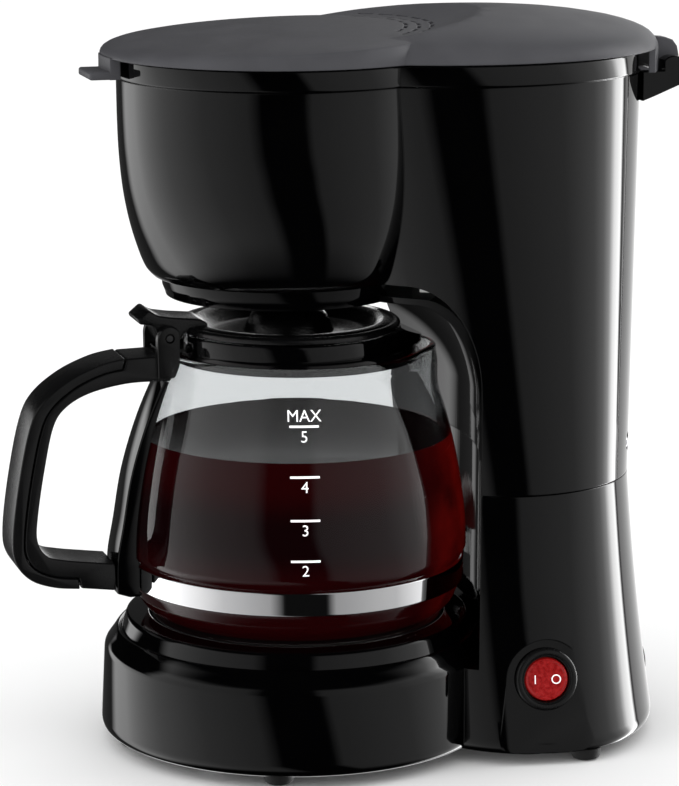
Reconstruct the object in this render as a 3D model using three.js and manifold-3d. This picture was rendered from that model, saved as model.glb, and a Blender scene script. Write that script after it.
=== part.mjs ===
// Five-cup drip coffee maker: figure-eight housing, glass jug, hinged lid.
// Millimetres, +Z up. The model is drawn about the jug's axis (x = y = 0), with the jug's
// handle towards -Y and the switch towards +X, and the last group moves it to the row's origin.
import * as THREE from 'three';
import { mergeVertices } from 'three/addons/utils/BufferGeometryUtils.js';
import Module from 'manifold-3d';

const wasm = await Module();
wasm.setup();

// ---------------------------------------------------------------- driving dimensions
const WALL = 2.4;             // moulded wall thickness
const GAP = 0.35;             // clearance between neighbouring pieces
const BASE_Z = 4;             // underside of the base, above the soles of the feet
const RING_Z = 45.5;          // top of the ring and of the warming plate inside it
const SEAM_Z = 93;            // joint between the lower and the upper housing
const WALL_JOINT_Z = 105.2;   // top of the lower housing's part of the bay wall
const CEILING_Z = 159.6;      // ceiling of the jug's bay
const SKIN_EDGE_Z = 166;      // lower edge of the bowl's outer skin
const COLLAR_Z = 235;         // bottom of the rim band
const RIM_Z = 242.5;          // top of the rim band
const DRUM_R = 69.5;          // widest radius of the base drum
const BOWL_Y = -5;            // centre of the bowl, in front of the jug's axis
const BAY_Y = -68;            // centre of the bay wall's large concave radius
const BAY_R = 130;            // that radius
const LID_PIN = { y: 130.5, z: 234.5 };
const LID_PIN_HALF = 21.4;    // half the hinge pin's length, its ends hidden in the lugs
const JUG_PIN = { y: -47.7, z: 146.9 };
const DRIP_Y = -2.6;          // axis of the drip stop and of the jug lid's dome
const SWITCH = { x: 59.05, y: 73.1, z: 29.7, tiltDeg: -8.5, yawDeg: -7 };
const ROCKER_TILT_DEG = -7;   // the on side of the rocker is pressed in
const HANDLE_END_Y = -103.4;
const LUG_R = 5.3;
const ORIGIN_Y = (HANDLE_END_Y + LID_PIN.y + LUG_R) / 2;

const ROUND = 36;             // segments of the large round shells
const SMALL = 12;             // segments of screws, pins and tubes
const FLATNESS = 0.15;        // facets flatter than this are merged
const DEG = Math.PI / 180;

// ---------------------------------------------------------------- colours
const COLOURS = {
  black: { color: 0x0b0b0d, roughness: 0.12 },
  satin: { color: 0x2a2b2e, roughness: 0.45 },
  matte: { color: 0x101012, roughness: 0.5 },
  rubber: { color: 0x0c0c0c, roughness: 0.9 },
  steel: { color: 0xd8d8da, roughness: 0.15, metalness: 1 },
  aluminium: { color: 0xb4b6b8, roughness: 0.4, metalness: 1 },
  plate: { color: 0x151515, roughness: 0.35, metalness: 0.4 },
  glass: { color: 0xeef4f4, roughness: 0.02, transparent: true, opacity: 0.3 },
  red: { color: 0xc0141c, roughness: 0.2 },
  hose: { color: 0xdcdcd2, roughness: 0.5 },
  mesh: { color: 0x8a6a2c, roughness: 0.6 },
};

// ---------------------------------------------------------------- solids
function signedVolume(geometry) {
  const p = geometry.attributes.position;
  const index = geometry.index;
  const [a, b, c] = [new THREE.Vector3(), new THREE.Vector3(), new THREE.Vector3()];
  let volume = 0;
  for (let i = 0; i < index.count; i += 3) {
    a.fromBufferAttribute(p, index.getX(i));
    b.fromBufferAttribute(p, index.getX(i + 1));
    c.fromBufferAttribute(p, index.getX(i + 2));
    volume += a.dot(b.cross(c)) / 6;
  }
  return volume;
}

// A closed geometry as a manifold solid, its faces turned outwards.
function solid(geometry) {
  const bare = geometry.clone();
  bare.deleteAttribute('normal');
  bare.deleteAttribute('uv');
  const merged = mergeVertices(bare, 1e-4);
  const triVerts = [];
  const index = merged.index;
  const outward = signedVolume(merged) > 0;
  for (let i = 0; i < index.count; i += 3) {
    const [a, b, c] = [index.getX(i), index.getX(i + 1), index.getX(i + 2)];
    if (a === b || b === c || a === c) continue;
    triVerts.push(a, outward ? b : c, outward ? c : b);
  }
  const vertProperties = new Float32Array(merged.attributes.position.array);
  return new wasm.Manifold(new wasm.Mesh({ numProp: 3, vertProperties,
    triVerts: new Uint32Array(triVerts) }));
}

function geometryOf(body, flatness = 0) {
  const mesh = (flatness ? body.simplify(flatness) : body).getMesh();
  const geometry = new THREE.BufferGeometry();
  geometry.setAttribute('position', new THREE.BufferAttribute(new Float32Array(mesh.vertProperties), 3));
  geometry.setIndex(new THREE.BufferAttribute(new Uint32Array(mesh.triVerts), 1));
  return geometry;
}

const union = (first, ...rest) => rest.reduce((sum, body) => sum.add(body), first);
const cut = (first, ...rest) => rest.reduce((left, body) => left.subtract(body), first);

// Revolves a closed [radius, z] profile about a vertical axis.
function turned(profile, { x = 0, y = 0, segments = ROUND } = {}) {
  const points = profile.map(([r, z]) => new THREE.Vector2(r, z));
  const geometry = new THREE.LatheGeometry(points, segments);
  geometry.rotateX(Math.PI / 2);
  geometry.translate(x, y, 0);
  return solid(geometry);
}

// A closed ring profile: the same, but the last point joins the first.
const ring = (profile, options) => turned([...profile, profile[0]], options);

const disc = (radius, z0, z1, options) =>
  turned([[0, z0], [radius, z0], [radius, z1], [0, z1]], options);

function block([x0, x1], [y0, y1], [z0, z1]) {
  const geometry = new THREE.BoxGeometry(x1 - x0, y1 - y0, z1 - z0);
  geometry.translate((x0 + x1) / 2, (y0 + y1) / 2, (z0 + z1) / 2);
  return solid(geometry);
}

// Extrudes a side outline, given as [y, z] points or a Shape in those axes, from x0 to x1.
function sideways(outline, x0, x1, curveSegments = 8) {
  const shape = outline instanceof THREE.Shape
    ? outline
    : new THREE.Shape(outline.map(([y, z]) => new THREE.Vector2(y, z)));
  const geometry = new THREE.ExtrudeGeometry(shape, { depth: x1 - x0, bevelEnabled: false, curveSegments });
  const axes = new THREE.Matrix4().makeBasis(
    new THREE.Vector3(0, 1, 0), new THREE.Vector3(0, 0, 1), new THREE.Vector3(1, 0, 0));
  geometry.applyMatrix4(axes);
  geometry.translate(x0, 0, 0);
  return solid(geometry);
}

// A cylinder along X from x0 to x1.
function barX(radius, y, z, x0, x1, segments = SMALL) {
  const geometry = new THREE.CylinderGeometry(radius, radius, x1 - x0, segments);
  geometry.rotateZ(Math.PI / 2);
  geometry.translate((x0 + x1) / 2, y, z);
  return solid(geometry);
}

// A cylinder along Y from y0 to y1.
function barY(radius, x, z, y0, y1, segments = SMALL) {
  const geometry = new THREE.CylinderGeometry(radius, radius, y1 - y0, segments);
  geometry.translate(x, (y0 + y1) / 2, z);
  return solid(geometry);
}

// A tube of the given outer and inner radius along a smooth path.
function tube(points, outer, inner, steps = 16, sides = 4) {
  const path = new THREE.CatmullRomCurve3(points.map((p) => new THREE.Vector3(...p)), false, 'centripetal');
  const section = new THREE.Shape();
  section.absarc(0, 0, outer, 0, Math.PI * 2);
  if (inner > 0) {
    const bore = new THREE.Path();
    bore.absarc(0, 0, inner, 0, Math.PI * 2, true);
    section.holes.push(bore);
  }
  return solid(new THREE.ExtrudeGeometry(section, {
    steps, extrudePath: path, bevelEnabled: false, curveSegments: sides,
  }));
}

// ---------------------------------------------------------------- the tower's oval
// Half-width, half-depth and centre of the tower's plan at the floor, the seam and the rim band.
const FLOOR_OVAL = { a: 66.7, b: 51.9, y: 77.5 };
const SEAM_OVAL = { a: 52.3, b: 48.2, y: 72.1 };
const RIM_OVAL = { a: 58.5, b: 66, y: 57 };
const FLARE = 0.4;            // how hollow the flare of the lower tower is

function ovalAt(z) {
  const low = z < SEAM_Z;
  const [from, to] = low ? [FLOOR_OVAL, SEAM_OVAL] : [SEAM_OVAL, RIM_OVAL];
  const t = low ? Math.max(0, (z - BASE_Z) / (SEAM_Z - BASE_Z)) : Math.min(1,
    (z - SEAM_Z) / (COLLAR_Z - SEAM_Z));
  const blend = low ? t + FLARE * t * (1 - t) : t;
  const mix = (key) => from[key] + (to[key] - from[key]) * blend;
  return { a: mix('a'), b: mix('b'), y: mix('y') };
}

// A solid whose plan is an oval at every height. Each profile row is [offset from the oval, z],
// and an offset of null is a point on the axis. With a fixed oval the plan doesn't change.
function oval(profile, fixed = null) {
  const points = profile.map(([offset, z]) => new THREE.Vector2(offset === null ? 0 : 1, z));
  const geometry = new THREE.LatheGeometry(points, ROUND);
  const position = geometry.attributes.position;
  for (let i = 0; i < position.count; i += 1) {
    const [offset, z] = profile[i % profile.length];
    const { a, b, y } = fixed ?? ovalAt(z);
    const grow = offset ?? 0;
    position.setXYZ(i, position.getX(i) * (a + grow), y - position.getZ(i) * (b + grow), z);
  }
  return solid(geometry);
}

const ovalBlock = (offset, levels, fixed) =>
  oval([[null, levels[0]], ...levels.map((z) => [offset, z]), [null, levels.at(-1)]], fixed);

// ---------------------------------------------------------------- the bowl and the bay
const BOWL_PROFILE = [        // outer radius of the bowl's skin at each height
  [44.2, SKIN_EDGE_Z], [47.4, 169.5], [50.2, 176.5], [52.8, 185.5],
  [54.8, 196], [56, 208], [56.5, 220], [56.7, COLLAR_Z],
];

const bowl = (offset, profile = BOWL_PROFILE) => turned(
  [[0, profile[0][1]], ...profile.map(([r, z]) => [r + offset, z]), [0, profile.at(-1)[1]]],
  { y: BOWL_Y });

// The space the jug stands in: a wide drum with a rounded upper edge. Its side is the bay's
// concave rear wall, its top the bay's ceiling, and the rounding is the fillet between them.
function bay({ radius, floor, ceiling, filletR, filletZ }) {
  const arc = [];
  for (let i = 0; i <= 6; i += 1) {
    const t = (i / 6) * (Math.PI / 2);
    arc.push([radius - filletR * (1 - Math.cos(t)), ceiling - filletZ * (1 - Math.sin(t))]);
  }
  return turned([[0, floor], [radius, floor], ...arc, [0, ceiling]], { y: BAY_Y, segments: 120 });
}

// ---------------------------------------------------------------- lower housing
function baseHousing() {
  const drum = turned([
    [0, BASE_Z], [66.4, BASE_Z], [68.8, 5.2], [DRUM_R, 7.6], [68.1, 33.6], [67.2, 35.2],
    [63.8, 40.2], [62.8, 40.4], [62.4, 39.7], [61.5, 40.3], [60.3, 44.6], [59.2, RING_Z], [0, RING_Z],
  ]);
  const tower = oval([
    [null, BASE_Z], [-3, BASE_Z], [-0.8, 5.2], [0, 7.6], [0, 20], [0, 35], [0, 50], [0, 70], [0,
      SEAM_Z], [null, SEAM_Z],
  ]);
  const jugSpace = bay({ radius: BAY_R, floor: 33, ceiling: 200, filletR: 0.5, filletZ: 0.5 });
  const behindWall = bay({ radius: BAY_R + WALL, floor: 33 - WALL, ceiling: 200, filletR: 0.5,
    filletZ: 0.5 });
  const wall = ovalBlock(-2.9, [60, 80, SEAM_Z, WALL_JOINT_Z]).intersect(behindWall).subtract(jugSpace);

  const drumHollow = turned([
    [0, 3], [65.6, 3], [65.6, 6.6], [66.9, 8.6], [65.6, 33], [61.4, 38], [59, RING_Z - WALL], [0,
      RING_Z - WALL],
  ]);
  const towerHollow = oval([
    [null, 3], [-3.8, 3], [-3.8, 6.6], [-WALL, 8.6], [-WALL, 35], [-WALL, 50], [-WALL, 70], [-WALL,
      SEAM_Z + 1],
    [null, SEAM_Z + 1],
  ]).subtract(behindWall).subtract(switchPanel(-WALL, 20, 2).intersect(block([0, 90], [0, 140],
    [7.2, 90])));

  return cut(
    union(drum, tower.subtract(jugSpace)),
    switchPanel(0, 20, 0),
    union(drumHollow, towerHollow),
    block([-28, 28], [44, 72], [10, 35]),
    disc(52.4, 40, 50),
    switchLocal(alongX([[0, -6], [9.5, -6], [9.5, 6], [0, 6]])),
    barY(6.4, 0, CORD_Z, 120, 140),
  ).add(wall);
}

const CORD_Z = 16;            // height of the cord inlet at the rear

// Base cover, set inside the housing's lower rim, with air slots and foot recess holes.
function basePlate() {
  const top = BASE_Z + 2.3;
  const lip = BASE_Z + 0.3;
  let plate = union(disc(65.2, lip, top), ovalBlock(-5, [lip, top], ovalAt(BASE_Z)));
  for (let row = -2; row <= 2; row += 1) {
    plate = plate.subtract(block([-22, 22], [74 + row * 8, 77 + row * 8], [0, 10]));
  }
  for (const [x, y] of SCREW_PLACES) plate = plate.subtract(disc(1.8, 0, 10, { x, y, segments: SMALL }));
  return plate;
}

const FOOT_PLACES = [[0, -59.5], [55.5, -21.5], [-55.5, -21.5], [58, 88.5], [-58, 88.5]];
const SCREW_PLACES = [[38, -40], [-38, -40], [40, 106], [-40, 106]];

const foot = ([x, y]) => turned(
  [[0, 0], [4.4, 0], [5, 0.8], [5.4, BASE_Z], [0, BASE_Z]], { x, y, segments: SMALL });

// Pan-head screw standing on its thread, head down.
const baseScrew = ([x, y]) => turned(
  [[0, BASE_Z - 1.6], [2.2, BASE_Z - 1.6], [3, BASE_Z - 0.9], [3, BASE_Z], [1.4, BASE_Z],
    [1.4, BASE_Z + 12], [0, BASE_Z + 13]],
  { x, y, segments: 12 });

const cordInlet = () => cut(
  union(barY(7.6, 0, CORD_Z, 128.9, 130), barY(6, 0, CORD_Z, 120, 128.9), barY(7.4, 0, CORD_Z, 120, 122.4)),
  barY(3.6, 0, CORD_Z, 118, 134));

// ---------------------------------------------------------------- heater, under the plate
const warmingPlate = () => ring([
  [0, RING_Z - 1.4], [49.6, RING_Z - 1.4], [49.6, 40.4], [51.4, 40.4], [51.4, RING_Z - 0.4], [50.9,
    RING_Z], [0, RING_Z],
]);

const HEATER = { y: 2, radius: 32, z: 36.5, endX: 18.5, endY: 39.5 };

// Centre line of the U, from the cold end on the right round the front to the hot end.
function heaterPath() {
  const leg = (side) => [[side * HEATER.endX, HEATER.endY], [side * 20.6, 34], [side * 29.4, 17]];
  const points = leg(1);
  for (let i = 0; i <= 8; i += 1) {
    const angle = -(Math.PI * i) / 8;
    points.push([HEATER.radius * Math.cos(angle), HEATER.y + HEATER.radius * Math.sin(angle)]);
  }
  points.push(...leg(-1).reverse());
  return points.map(([x, y]) => [x, y, HEATER.z]);
}

// Aluminium casting: the sheathed element lies on top of the water tube, both bent to a U.
function heaterBlock() {
  const path = new THREE.CatmullRomCurve3(heaterPath().map((p) => new THREE.Vector3(...p)), false,
    'centripetal');
  const section = new THREE.Shape();
  section.absarc(0, 0, 5, 0, Math.PI * 2);
  return solid(new THREE.ExtrudeGeometry(section, { steps: 24, extrudePath: path, bevelEnabled: false,
    curveSegments: 4 }));
}

const heaterBridge = () => cut(
  union(
    block([-27.5, 27.5], [-3, 7], [29.4, 30.8]),
    block([-40, -37.8], [-3, 7], [29.4, 43.6]),
    block([37.8, 40], [-3, 7], [29.4, 43.6]),
    block([-40, -27], [-3, 7], [29.4, 30.8]),
    block([27, 40], [-3, 7], [29.4, 30.8]),
  ),
  disc(2.2, 25, 33, { y: 2, segments: SMALL }));

const bridgeScrew = () => turned(
  [[0, 27], [3.2, 27], [3.6, 27.6], [3.6, 29], [1.8, 29], [1.8, 43.4], [0, 43.4]], { y: 2, segments: 12 });

const thermostat = () => cut(
  union(
    disc(7.6, 33.2, 43.7, { x: 0, y: -16, segments: 24 }),
    block([-14, 14], [-18.5, -13.5], [34.4, 35.4]),
  ),
  disc(1.2, 30, 37, { x: 11.5, y: -16, segments: 12 }));

const thermalFuse = () => union(
  barX(2.6, 20, 40.8, -11, 11),
  barX(0.9, 20, 40.8, -17, 17, 10));

// ---------------------------------------------------------------- switch, in its own axes
// Local +X points out of the housing's wall and is tipped up by the wall's own slope.
function switchLocal(body) {
  const pose = new THREE.Matrix4().makeRotationZ(SWITCH.yawDeg * DEG)
    .multiply(new THREE.Matrix4().makeRotationY(SWITCH.tiltDeg * DEG));
  pose.setPosition(SWITCH.x, SWITCH.y, SWITCH.z);
  return moved(body, pose);
}

// The arched panel round the switch, as a prism from local x0 to x1, grown by the given margin.
function switchPanel(x0, x1, grow) {
  const arch = new THREE.Shape();
  arch.moveTo(-PANEL.foot - grow, -40);
  arch.lineTo(-PANEL.half - grow, 0);
  arch.absarc(0, 0, PANEL.half + grow, Math.PI, 0, true);
  arch.lineTo(PANEL.foot + grow, -40);
  return switchLocal(sideways(arch, x0, x1, 10));
}

const PANEL = { half: 13.8, foot: 19 };   // half-width at the switch and far below it

function moved(body, matrix) {
  return solid(geometryOf(body).applyMatrix4(matrix));
}

// Revolves a [radius, x] profile about the local X axis.
const alongX = (profile, segments = 28) => moved(
  turned(profile, { segments }), new THREE.Matrix4().makeRotationY(Math.PI / 2));

const switchBody = () => switchLocal(union(
  alongX([
    [8, 2.2], [8, -9.6], [0, -9.6], [0, -12.5], [9, -12.5], [9, 0.3], [10.9, 0.3], [10.9, 1.4], [10.2,
      2.2], [8, 2.2],
  ]),
  block([-19, -12], [-5.6, -4.8], [-2.4, 2.4]),
  block([-19, -12], [4.8, 5.6], [-2.4, 2.4]),
));

function rocker() {
  const face = alongX([[0, -6.5], [5, -6.5], [6.8, -3.5], [7.5, -0.8], [7.5, 1], [7, 1.9], [4, 1.5],
    [0, 1.3]], 24);
  const pressed = new THREE.Matrix4().makeRotationZ(ROCKER_TILT_DEG * DEG);
  return switchLocal(moved(face, pressed));
}

// ---------------------------------------------------------------- upper housing
const FILLET_SKIN = { radius: BAY_R, floor: 80, ceiling: SKIN_EDGE_Z + 0.6, filletR: 25, filletZ: 36 };
const FILLET_LINER = { radius: BAY_R - 1, floor: 80, ceiling: CEILING_Z, filletR: 22, filletZ: 34.6 };
const SKIN_LEVELS = [SEAM_Z + GAP, 130, 165, 200, COLLAR_Z];
const COVER_X = 36.8;         // half-width of the rear cover
const NOTCH_X = 31;           // half-width of the rim band's gap behind the lid's skirt
const BAND_PROUD = 0.9;       // the rim band stands this far out of the skin

function upperHousing() {
  const skin = union(bowl(0), ovalBlock(0, SKIN_LEVELS));
  const band = union(
    disc(56.7 + BAND_PROUD, COLLAR_Z, RIM_Z, { y: BOWL_Y }),
    ovalBlock(BAND_PROUD, [COLLAR_Z, RIM_Z], RIM_OVAL));
  const hollowBowl = bowl(-WALL, [[43, SKIN_EDGE_Z - 1], ...BOWL_PROFILE.slice(1), [56.7, RIM_Z + 1]]);
  const hollowTower = ovalBlock(-WALL, [SEAM_Z - 1, ...SKIN_LEVELS.slice(1), RIM_Z + 1]);
  return cut(
    union(skin, band),
    hollowBowl,
    hollowTower,
    bay(FILLET_SKIN),
    block([-COVER_X, COVER_X], [90, 140], [80, COLLAR_Z]),
    block([-NOTCH_X, NOTCH_X], [90, 140], [COLLAR_Z - 1, RIM_Z + 1]),
  );
}

// Liner of the bay: bottom pan of the bowl, ceiling, fillet and rear wall in one sheet.
function bayLiner() {
  const inset = -WALL - 0.5;
  const body = union(
    turned([[0, 140], [40.4, 140], [40.4, CEILING_Z], [41.4, 163], [41.9, 168], [0, 168]], { y: BOWL_Y }),
    ovalBlock(inset, [WALL_JOINT_Z + 0.3, 130, 155, 168]));
  const sheet = bay({ ...FILLET_LINER, radius: FILLET_LINER.radius + WALL,
    ceiling: CEILING_Z + WALL }).subtract(bay(FILLET_LINER));
  const panRim = cut(
    turned([[0, CEILING_Z], [40.4, CEILING_Z], [41.4, 163], [41.9, 168], [0, 168]], { y: BOWL_Y }),
    disc(39.4, CEILING_Z + 1, 169, { y: BOWL_Y }),
    ovalBlock(inset, [155, 170]));
  return union(body.intersect(sheet), panRim).subtract(disc(10.4, 150, 170, { y: DRIP_Y, segments: 32 }));
}

function backCover() {
  const shell = ovalBlock(0, [SEAM_Z + GAP, 130, 165, 200, COLLAR_Z - GAP])
    .subtract(ovalBlock(-WALL, [SEAM_Z - 1, 130, 165, 200, COLLAR_Z]))
    .intersect(block([-COVER_X + GAP, COVER_X - GAP], [90, 140], [80, COLLAR_Z]));
  const lugOutline = [
    [119, 224.4], [123.4, 226], [132.45, 229.6], [LID_PIN.y + 3.7, LID_PIN.z - 3.7], [LID_PIN.y + 3,
      LID_PIN.z],
    [119, LID_PIN.z],
  ];
  let cover = shell;
  for (const side of [-1, 1]) {
    const [x0, x1] = side < 0 ? [-23, -17] : [17, 23];
    const lug = union(sideways(lugOutline, x0, x1), barX(LUG_R, LID_PIN.y, LID_PIN.z, x0, x1, 24));
    cover = cover.add(lug.subtract(ovalBlock(-WALL, [200, COLLAR_Z + 5])).subtract(block([-40, 40],
      [100, 127], [LID_PIN.z, 250])));
    cover = cover.subtract(barY(3.3, side * COVER_SCREW.x, COVER_SCREW.z, 100, 140, 16));
  }
  cover = cover.subtract(block([-6, 6], [110, 140], [205, 207.4]));
  return cover.subtract(barX(1.85, LID_PIN.y, LID_PIN.z, -LID_PIN_HALF - 0.4, LID_PIN_HALF + 0.4));
}

const COVER_SCREW = { x: 24, z: 104 };
const coverScrew = (side) => union(
  barY(2.9, side * COVER_SCREW.x, COVER_SCREW.z, 112.6, 114.6, 16),
  barY(1.4, side * COVER_SCREW.x, COVER_SCREW.z, 104, 113, 10));

// ---------------------------------------------------------------- water system
const TANK = { inset: -5.2, wall: 1.8, floor: 110, top: 234, outletX: 10, outletY: 96 };
const RISER = { x: -22, y: 69.5, radius: 4 };

function tankBody(extra, floor, top) {
  const levels = [floor, 150, 190, top];
  return cut(
    ovalBlock(TANK.inset - extra, levels),
    turned([[0, 60], [BAY_R + 4 + extra, 60], [BAY_R + 4 + extra, 164 + extra], [0, 164 + extra]],
      { y: BAY_Y, segments: 96 }),
    disc(55 + extra, 150, 260, { y: BOWL_Y }),
    disc(7 + extra, 60, 260, { x: RISER.x, y: RISER.y, segments: 16 }),
    block([RISER.x - 7 - extra, RISER.x + 7 + extra], [40, RISER.y], [60, 260]),
    block([RISER.x - 7 - extra, extra - 3], [40, 65 + extra], [222 - extra, 260]),
  );
}

const waterTank = () => cut(
  tankBody(0, TANK.floor, TANK.top),
  tankBody(TANK.wall, TANK.floor + TANK.wall, TANK.top + 5),
  disc(2.6, 90, 120, { x: TANK.outletX, y: TANK.outletY, segments: SMALL }));

const VALVE = { low: 86, high: 109.6, bore: 4.2, seatZ: 100 };

// One-way valve under the tank: the ball rests on a grating and rises to a seat.
function valveBody() {
  const place = { x: TANK.outletX, y: TANK.outletY, segments: 16 };
  const barrel = turned([
    [0, VALVE.low], [4, VALVE.low], [4, 90], [6, 91], [6, 103], [4, 104], [4, VALVE.high], [0, VALVE.high],
  ], place);
  const chamber = turned([[0, 93], [VALVE.bore, 93], [VALVE.bore, 97.6], [2, VALVE.seatZ], [2, 112],
    [0, 112]], place);
  const below = disc(2.4, 80, 91.6, place);
  const slots = [0, 1, 2].map((i) => {
    const angle = (i * 2 * Math.PI) / 3;
    return disc(0.8, 91, 94, {
      x: TANK.outletX + 1.7 * Math.cos(angle), y: TANK.outletY + 1.7 * Math.sin(angle), segments: 6,
    });
  });
  return cut(barrel, chamber, below, ...slots);
}

function valveBall() {
  const ball = new THREE.SphereGeometry(3, 10, 7);
  ball.translate(TANK.outletX, TANK.outletY, 96.2);
  return solid(ball);
}

const HOSE_Z = 26;            // height at which the hoses pass under the bay wall

// Silicone hoses between the valve, the heater and the riser.
const coldHose = () => tube([
  [TANK.outletX, TANK.outletY, VALVE.low - GAP], [TANK.outletX, TANK.outletY, 72], [12, 94, 50], [16,
    82, 33],
  [18, 66, HOSE_Z - 1], [18, 56, HOSE_Z], [HEATER.endX - 0.6, HEATER.endY + 8, HEATER.z - 4],
  [HEATER.endX - 0.6, HEATER.endY + 3, HEATER.z], [HEATER.endX - 0.6, HEATER.endY + 1.4, HEATER.z],
], 4.2, 2.6, 24);

const hotHose = () => tube([
  [0.6 - HEATER.endX, HEATER.endY + 1.4, HEATER.z], [0.6 - HEATER.endX, HEATER.endY + 3, HEATER.z],
  [0.6 - HEATER.endX, HEATER.endY + 8, HEATER.z - 4], [-18, 55, HOSE_Z], [-19.5, 63,
    HOSE_Z + 1], [RISER.x, RISER.y + 1, 44], [RISER.x, RISER.y, 84],
], 4.2, 2.6, 18);

const riserPipe = () => tube([
  [RISER.x, RISER.y, 84.4], [RISER.x, RISER.y, 120], [RISER.x, RISER.y, 170], [RISER.x, RISER.y, 222.4],
], RISER.radius, 2.6, 6);

// Elbow that carries the water forwards from the riser and up into the lid's shower head.
const spoutNozzle = () => tube([
  [RISER.x, RISER.y, 222.8], [RISER.x, RISER.y, 225], [RISER.x + 3, RISER.y - 5, 229], [-13, 57.5, 230.4],
  [INLET.x, INLET.y, 232.4], [INLET.x, INLET.y, 235.6],
], 3.4, 2.2, 14);

const INLET = { x: -10, y: 54 };          // where the nozzle meets the lid's shower head

// ---------------------------------------------------------------- brewing
function brewBasket() {
  const outer = turned([[0, 162.3], [33.6, 162.3], [36.6, 165], [45.2, 196], [48.2, 221], [51.6, 221],
    [51.6, 223], [0, 223]], { y: BOWL_Y, segments: 28 });
  const inner = turned([[0, 164.6], [32.6, 164.6], [34.8, 166.6], [43.4, 196.4], [46.4, 224], [0, 224]],
    { y: BOWL_Y, segments: 28 });
  const spout = disc(9.6, 160.4, 165, { y: DRIP_Y, segments: 24 });
  const cage = cut(
    block([-10, 10], [DRIP_Y - 2.5, DRIP_Y + 2.5], [163, 176.4]),
    block([-8.4, 8.4], [DRIP_Y - 4, DRIP_Y + 4], [160, 175]));
  return cut(
    union(outer.subtract(inner), spout, cage),
    disc(8, 161.8, 166.5, { y: DRIP_Y, segments: 20 }),
    disc(3.4, 150, 163, { y: DRIP_Y, segments: 16 }));
}

const filterCone = () => ring([
  [0, 178.4], [27.6, 178.4], [32.6, 180], [42.4, 202], [45.6, 223.4], [49.4, 223.4], [49.4, 224.6],
  [44.6, 224.6], [41.2, 202.4], [31.6, 181], [27.2, 179.6], [0, 179.6],
], { y: BOWL_Y, segments: 28 });

const plunger = () => turned([
  [0, 155.5], [2.2, 155.5], [2.9, 156.3], [2.9, 163.4], [6, 163.4], [6, 165], [1.6, 165], [1.6,
    170.6], [0, 170.6],
], { y: DRIP_Y, segments: 16 });

const dripSeal = () => ring([[3.6, 162.1], [7.6, 162.1], [7.6, 163.1], [3.6, 163.1]],
  { y: DRIP_Y, segments: 16 });

function dripSpring() {
  const points = [];
  const turns = 4;
  const steps = turns * 6;
  for (let i = 0; i <= steps; i += 1) {
    const angle = (i / 6) * 2 * Math.PI;
    points.push([3.2 * Math.cos(angle), DRIP_Y + 3.2 * Math.sin(angle), 165.8 + (8.4 * i) / steps]);
  }
  return tube(points, 0.4, 0, steps, 3);
}

// ---------------------------------------------------------------- machine lid
const LID_OVAL = { a: 61, b: 72, y: 57.5 };
const LID_FRONT = { r: 61, y: -6.2 };
const LID_LOW = 242.85;

const LID_LEAN = 0.042;      // rise per millimetre towards the rear of the front half's top

// Leans the top of a front-half solid, leaving its lower edge level.
const lean = (body) => body.warp((vertex) => {
  const share = Math.min(1, Math.max(0, (vertex[2] - 243.6) / 2));
  vertex[2] += LID_LEAN * (vertex[1] + 67) * share;
});

const frontDome = lean(turned([
  [0, LID_LOW], [LID_FRONT.r, LID_LOW], [60.9, 243.8], [59.6, 245.2], [56.8, 246.3], [50, 247.2], [36,
    248.1], [18, 248.7], [0, 248.9],
], { y: LID_FRONT.y }));

// The rear half is dished round the front half, down a gentle ramp.
const ramp = (drop) => lean(turned([
  [0, 232], [50, 232], [50, 247.2 - drop], [54, 247.6 - drop], [72, 251.6 - drop], [100,
    258 - drop], [100, 275], [0, 275],
], { y: LID_FRONT.y }));

const rearDome = oval([
  [null, LID_LOW], [0, LID_LOW], [-0.3, 244.4], [-1.6, 246.6], [-4.6, 249.1], [-11, 251.5], [-20,
    253.5], [-33, 255.4], [null, 257.4],
], LID_OVAL).subtract(ramp(0));

const lidHollow = union(
  lean(turned([[0, 240], [59, 240], [58.4, 243.6], [56.4, 244.4], [50, 245.2], [36, 246.1], [18, 246.7],
    [0, 246.9]],
    { y: LID_FRONT.y })),
  oval([[null, 240], [-2, 240], [-2.7, 244.4], [-6.4, 247.2], [-13, 249.7], [-22, 251.6], [-35, 253.4],
    [null, 255.2]], LID_OVAL)
    .subtract(ramp(2.2)));

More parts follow.
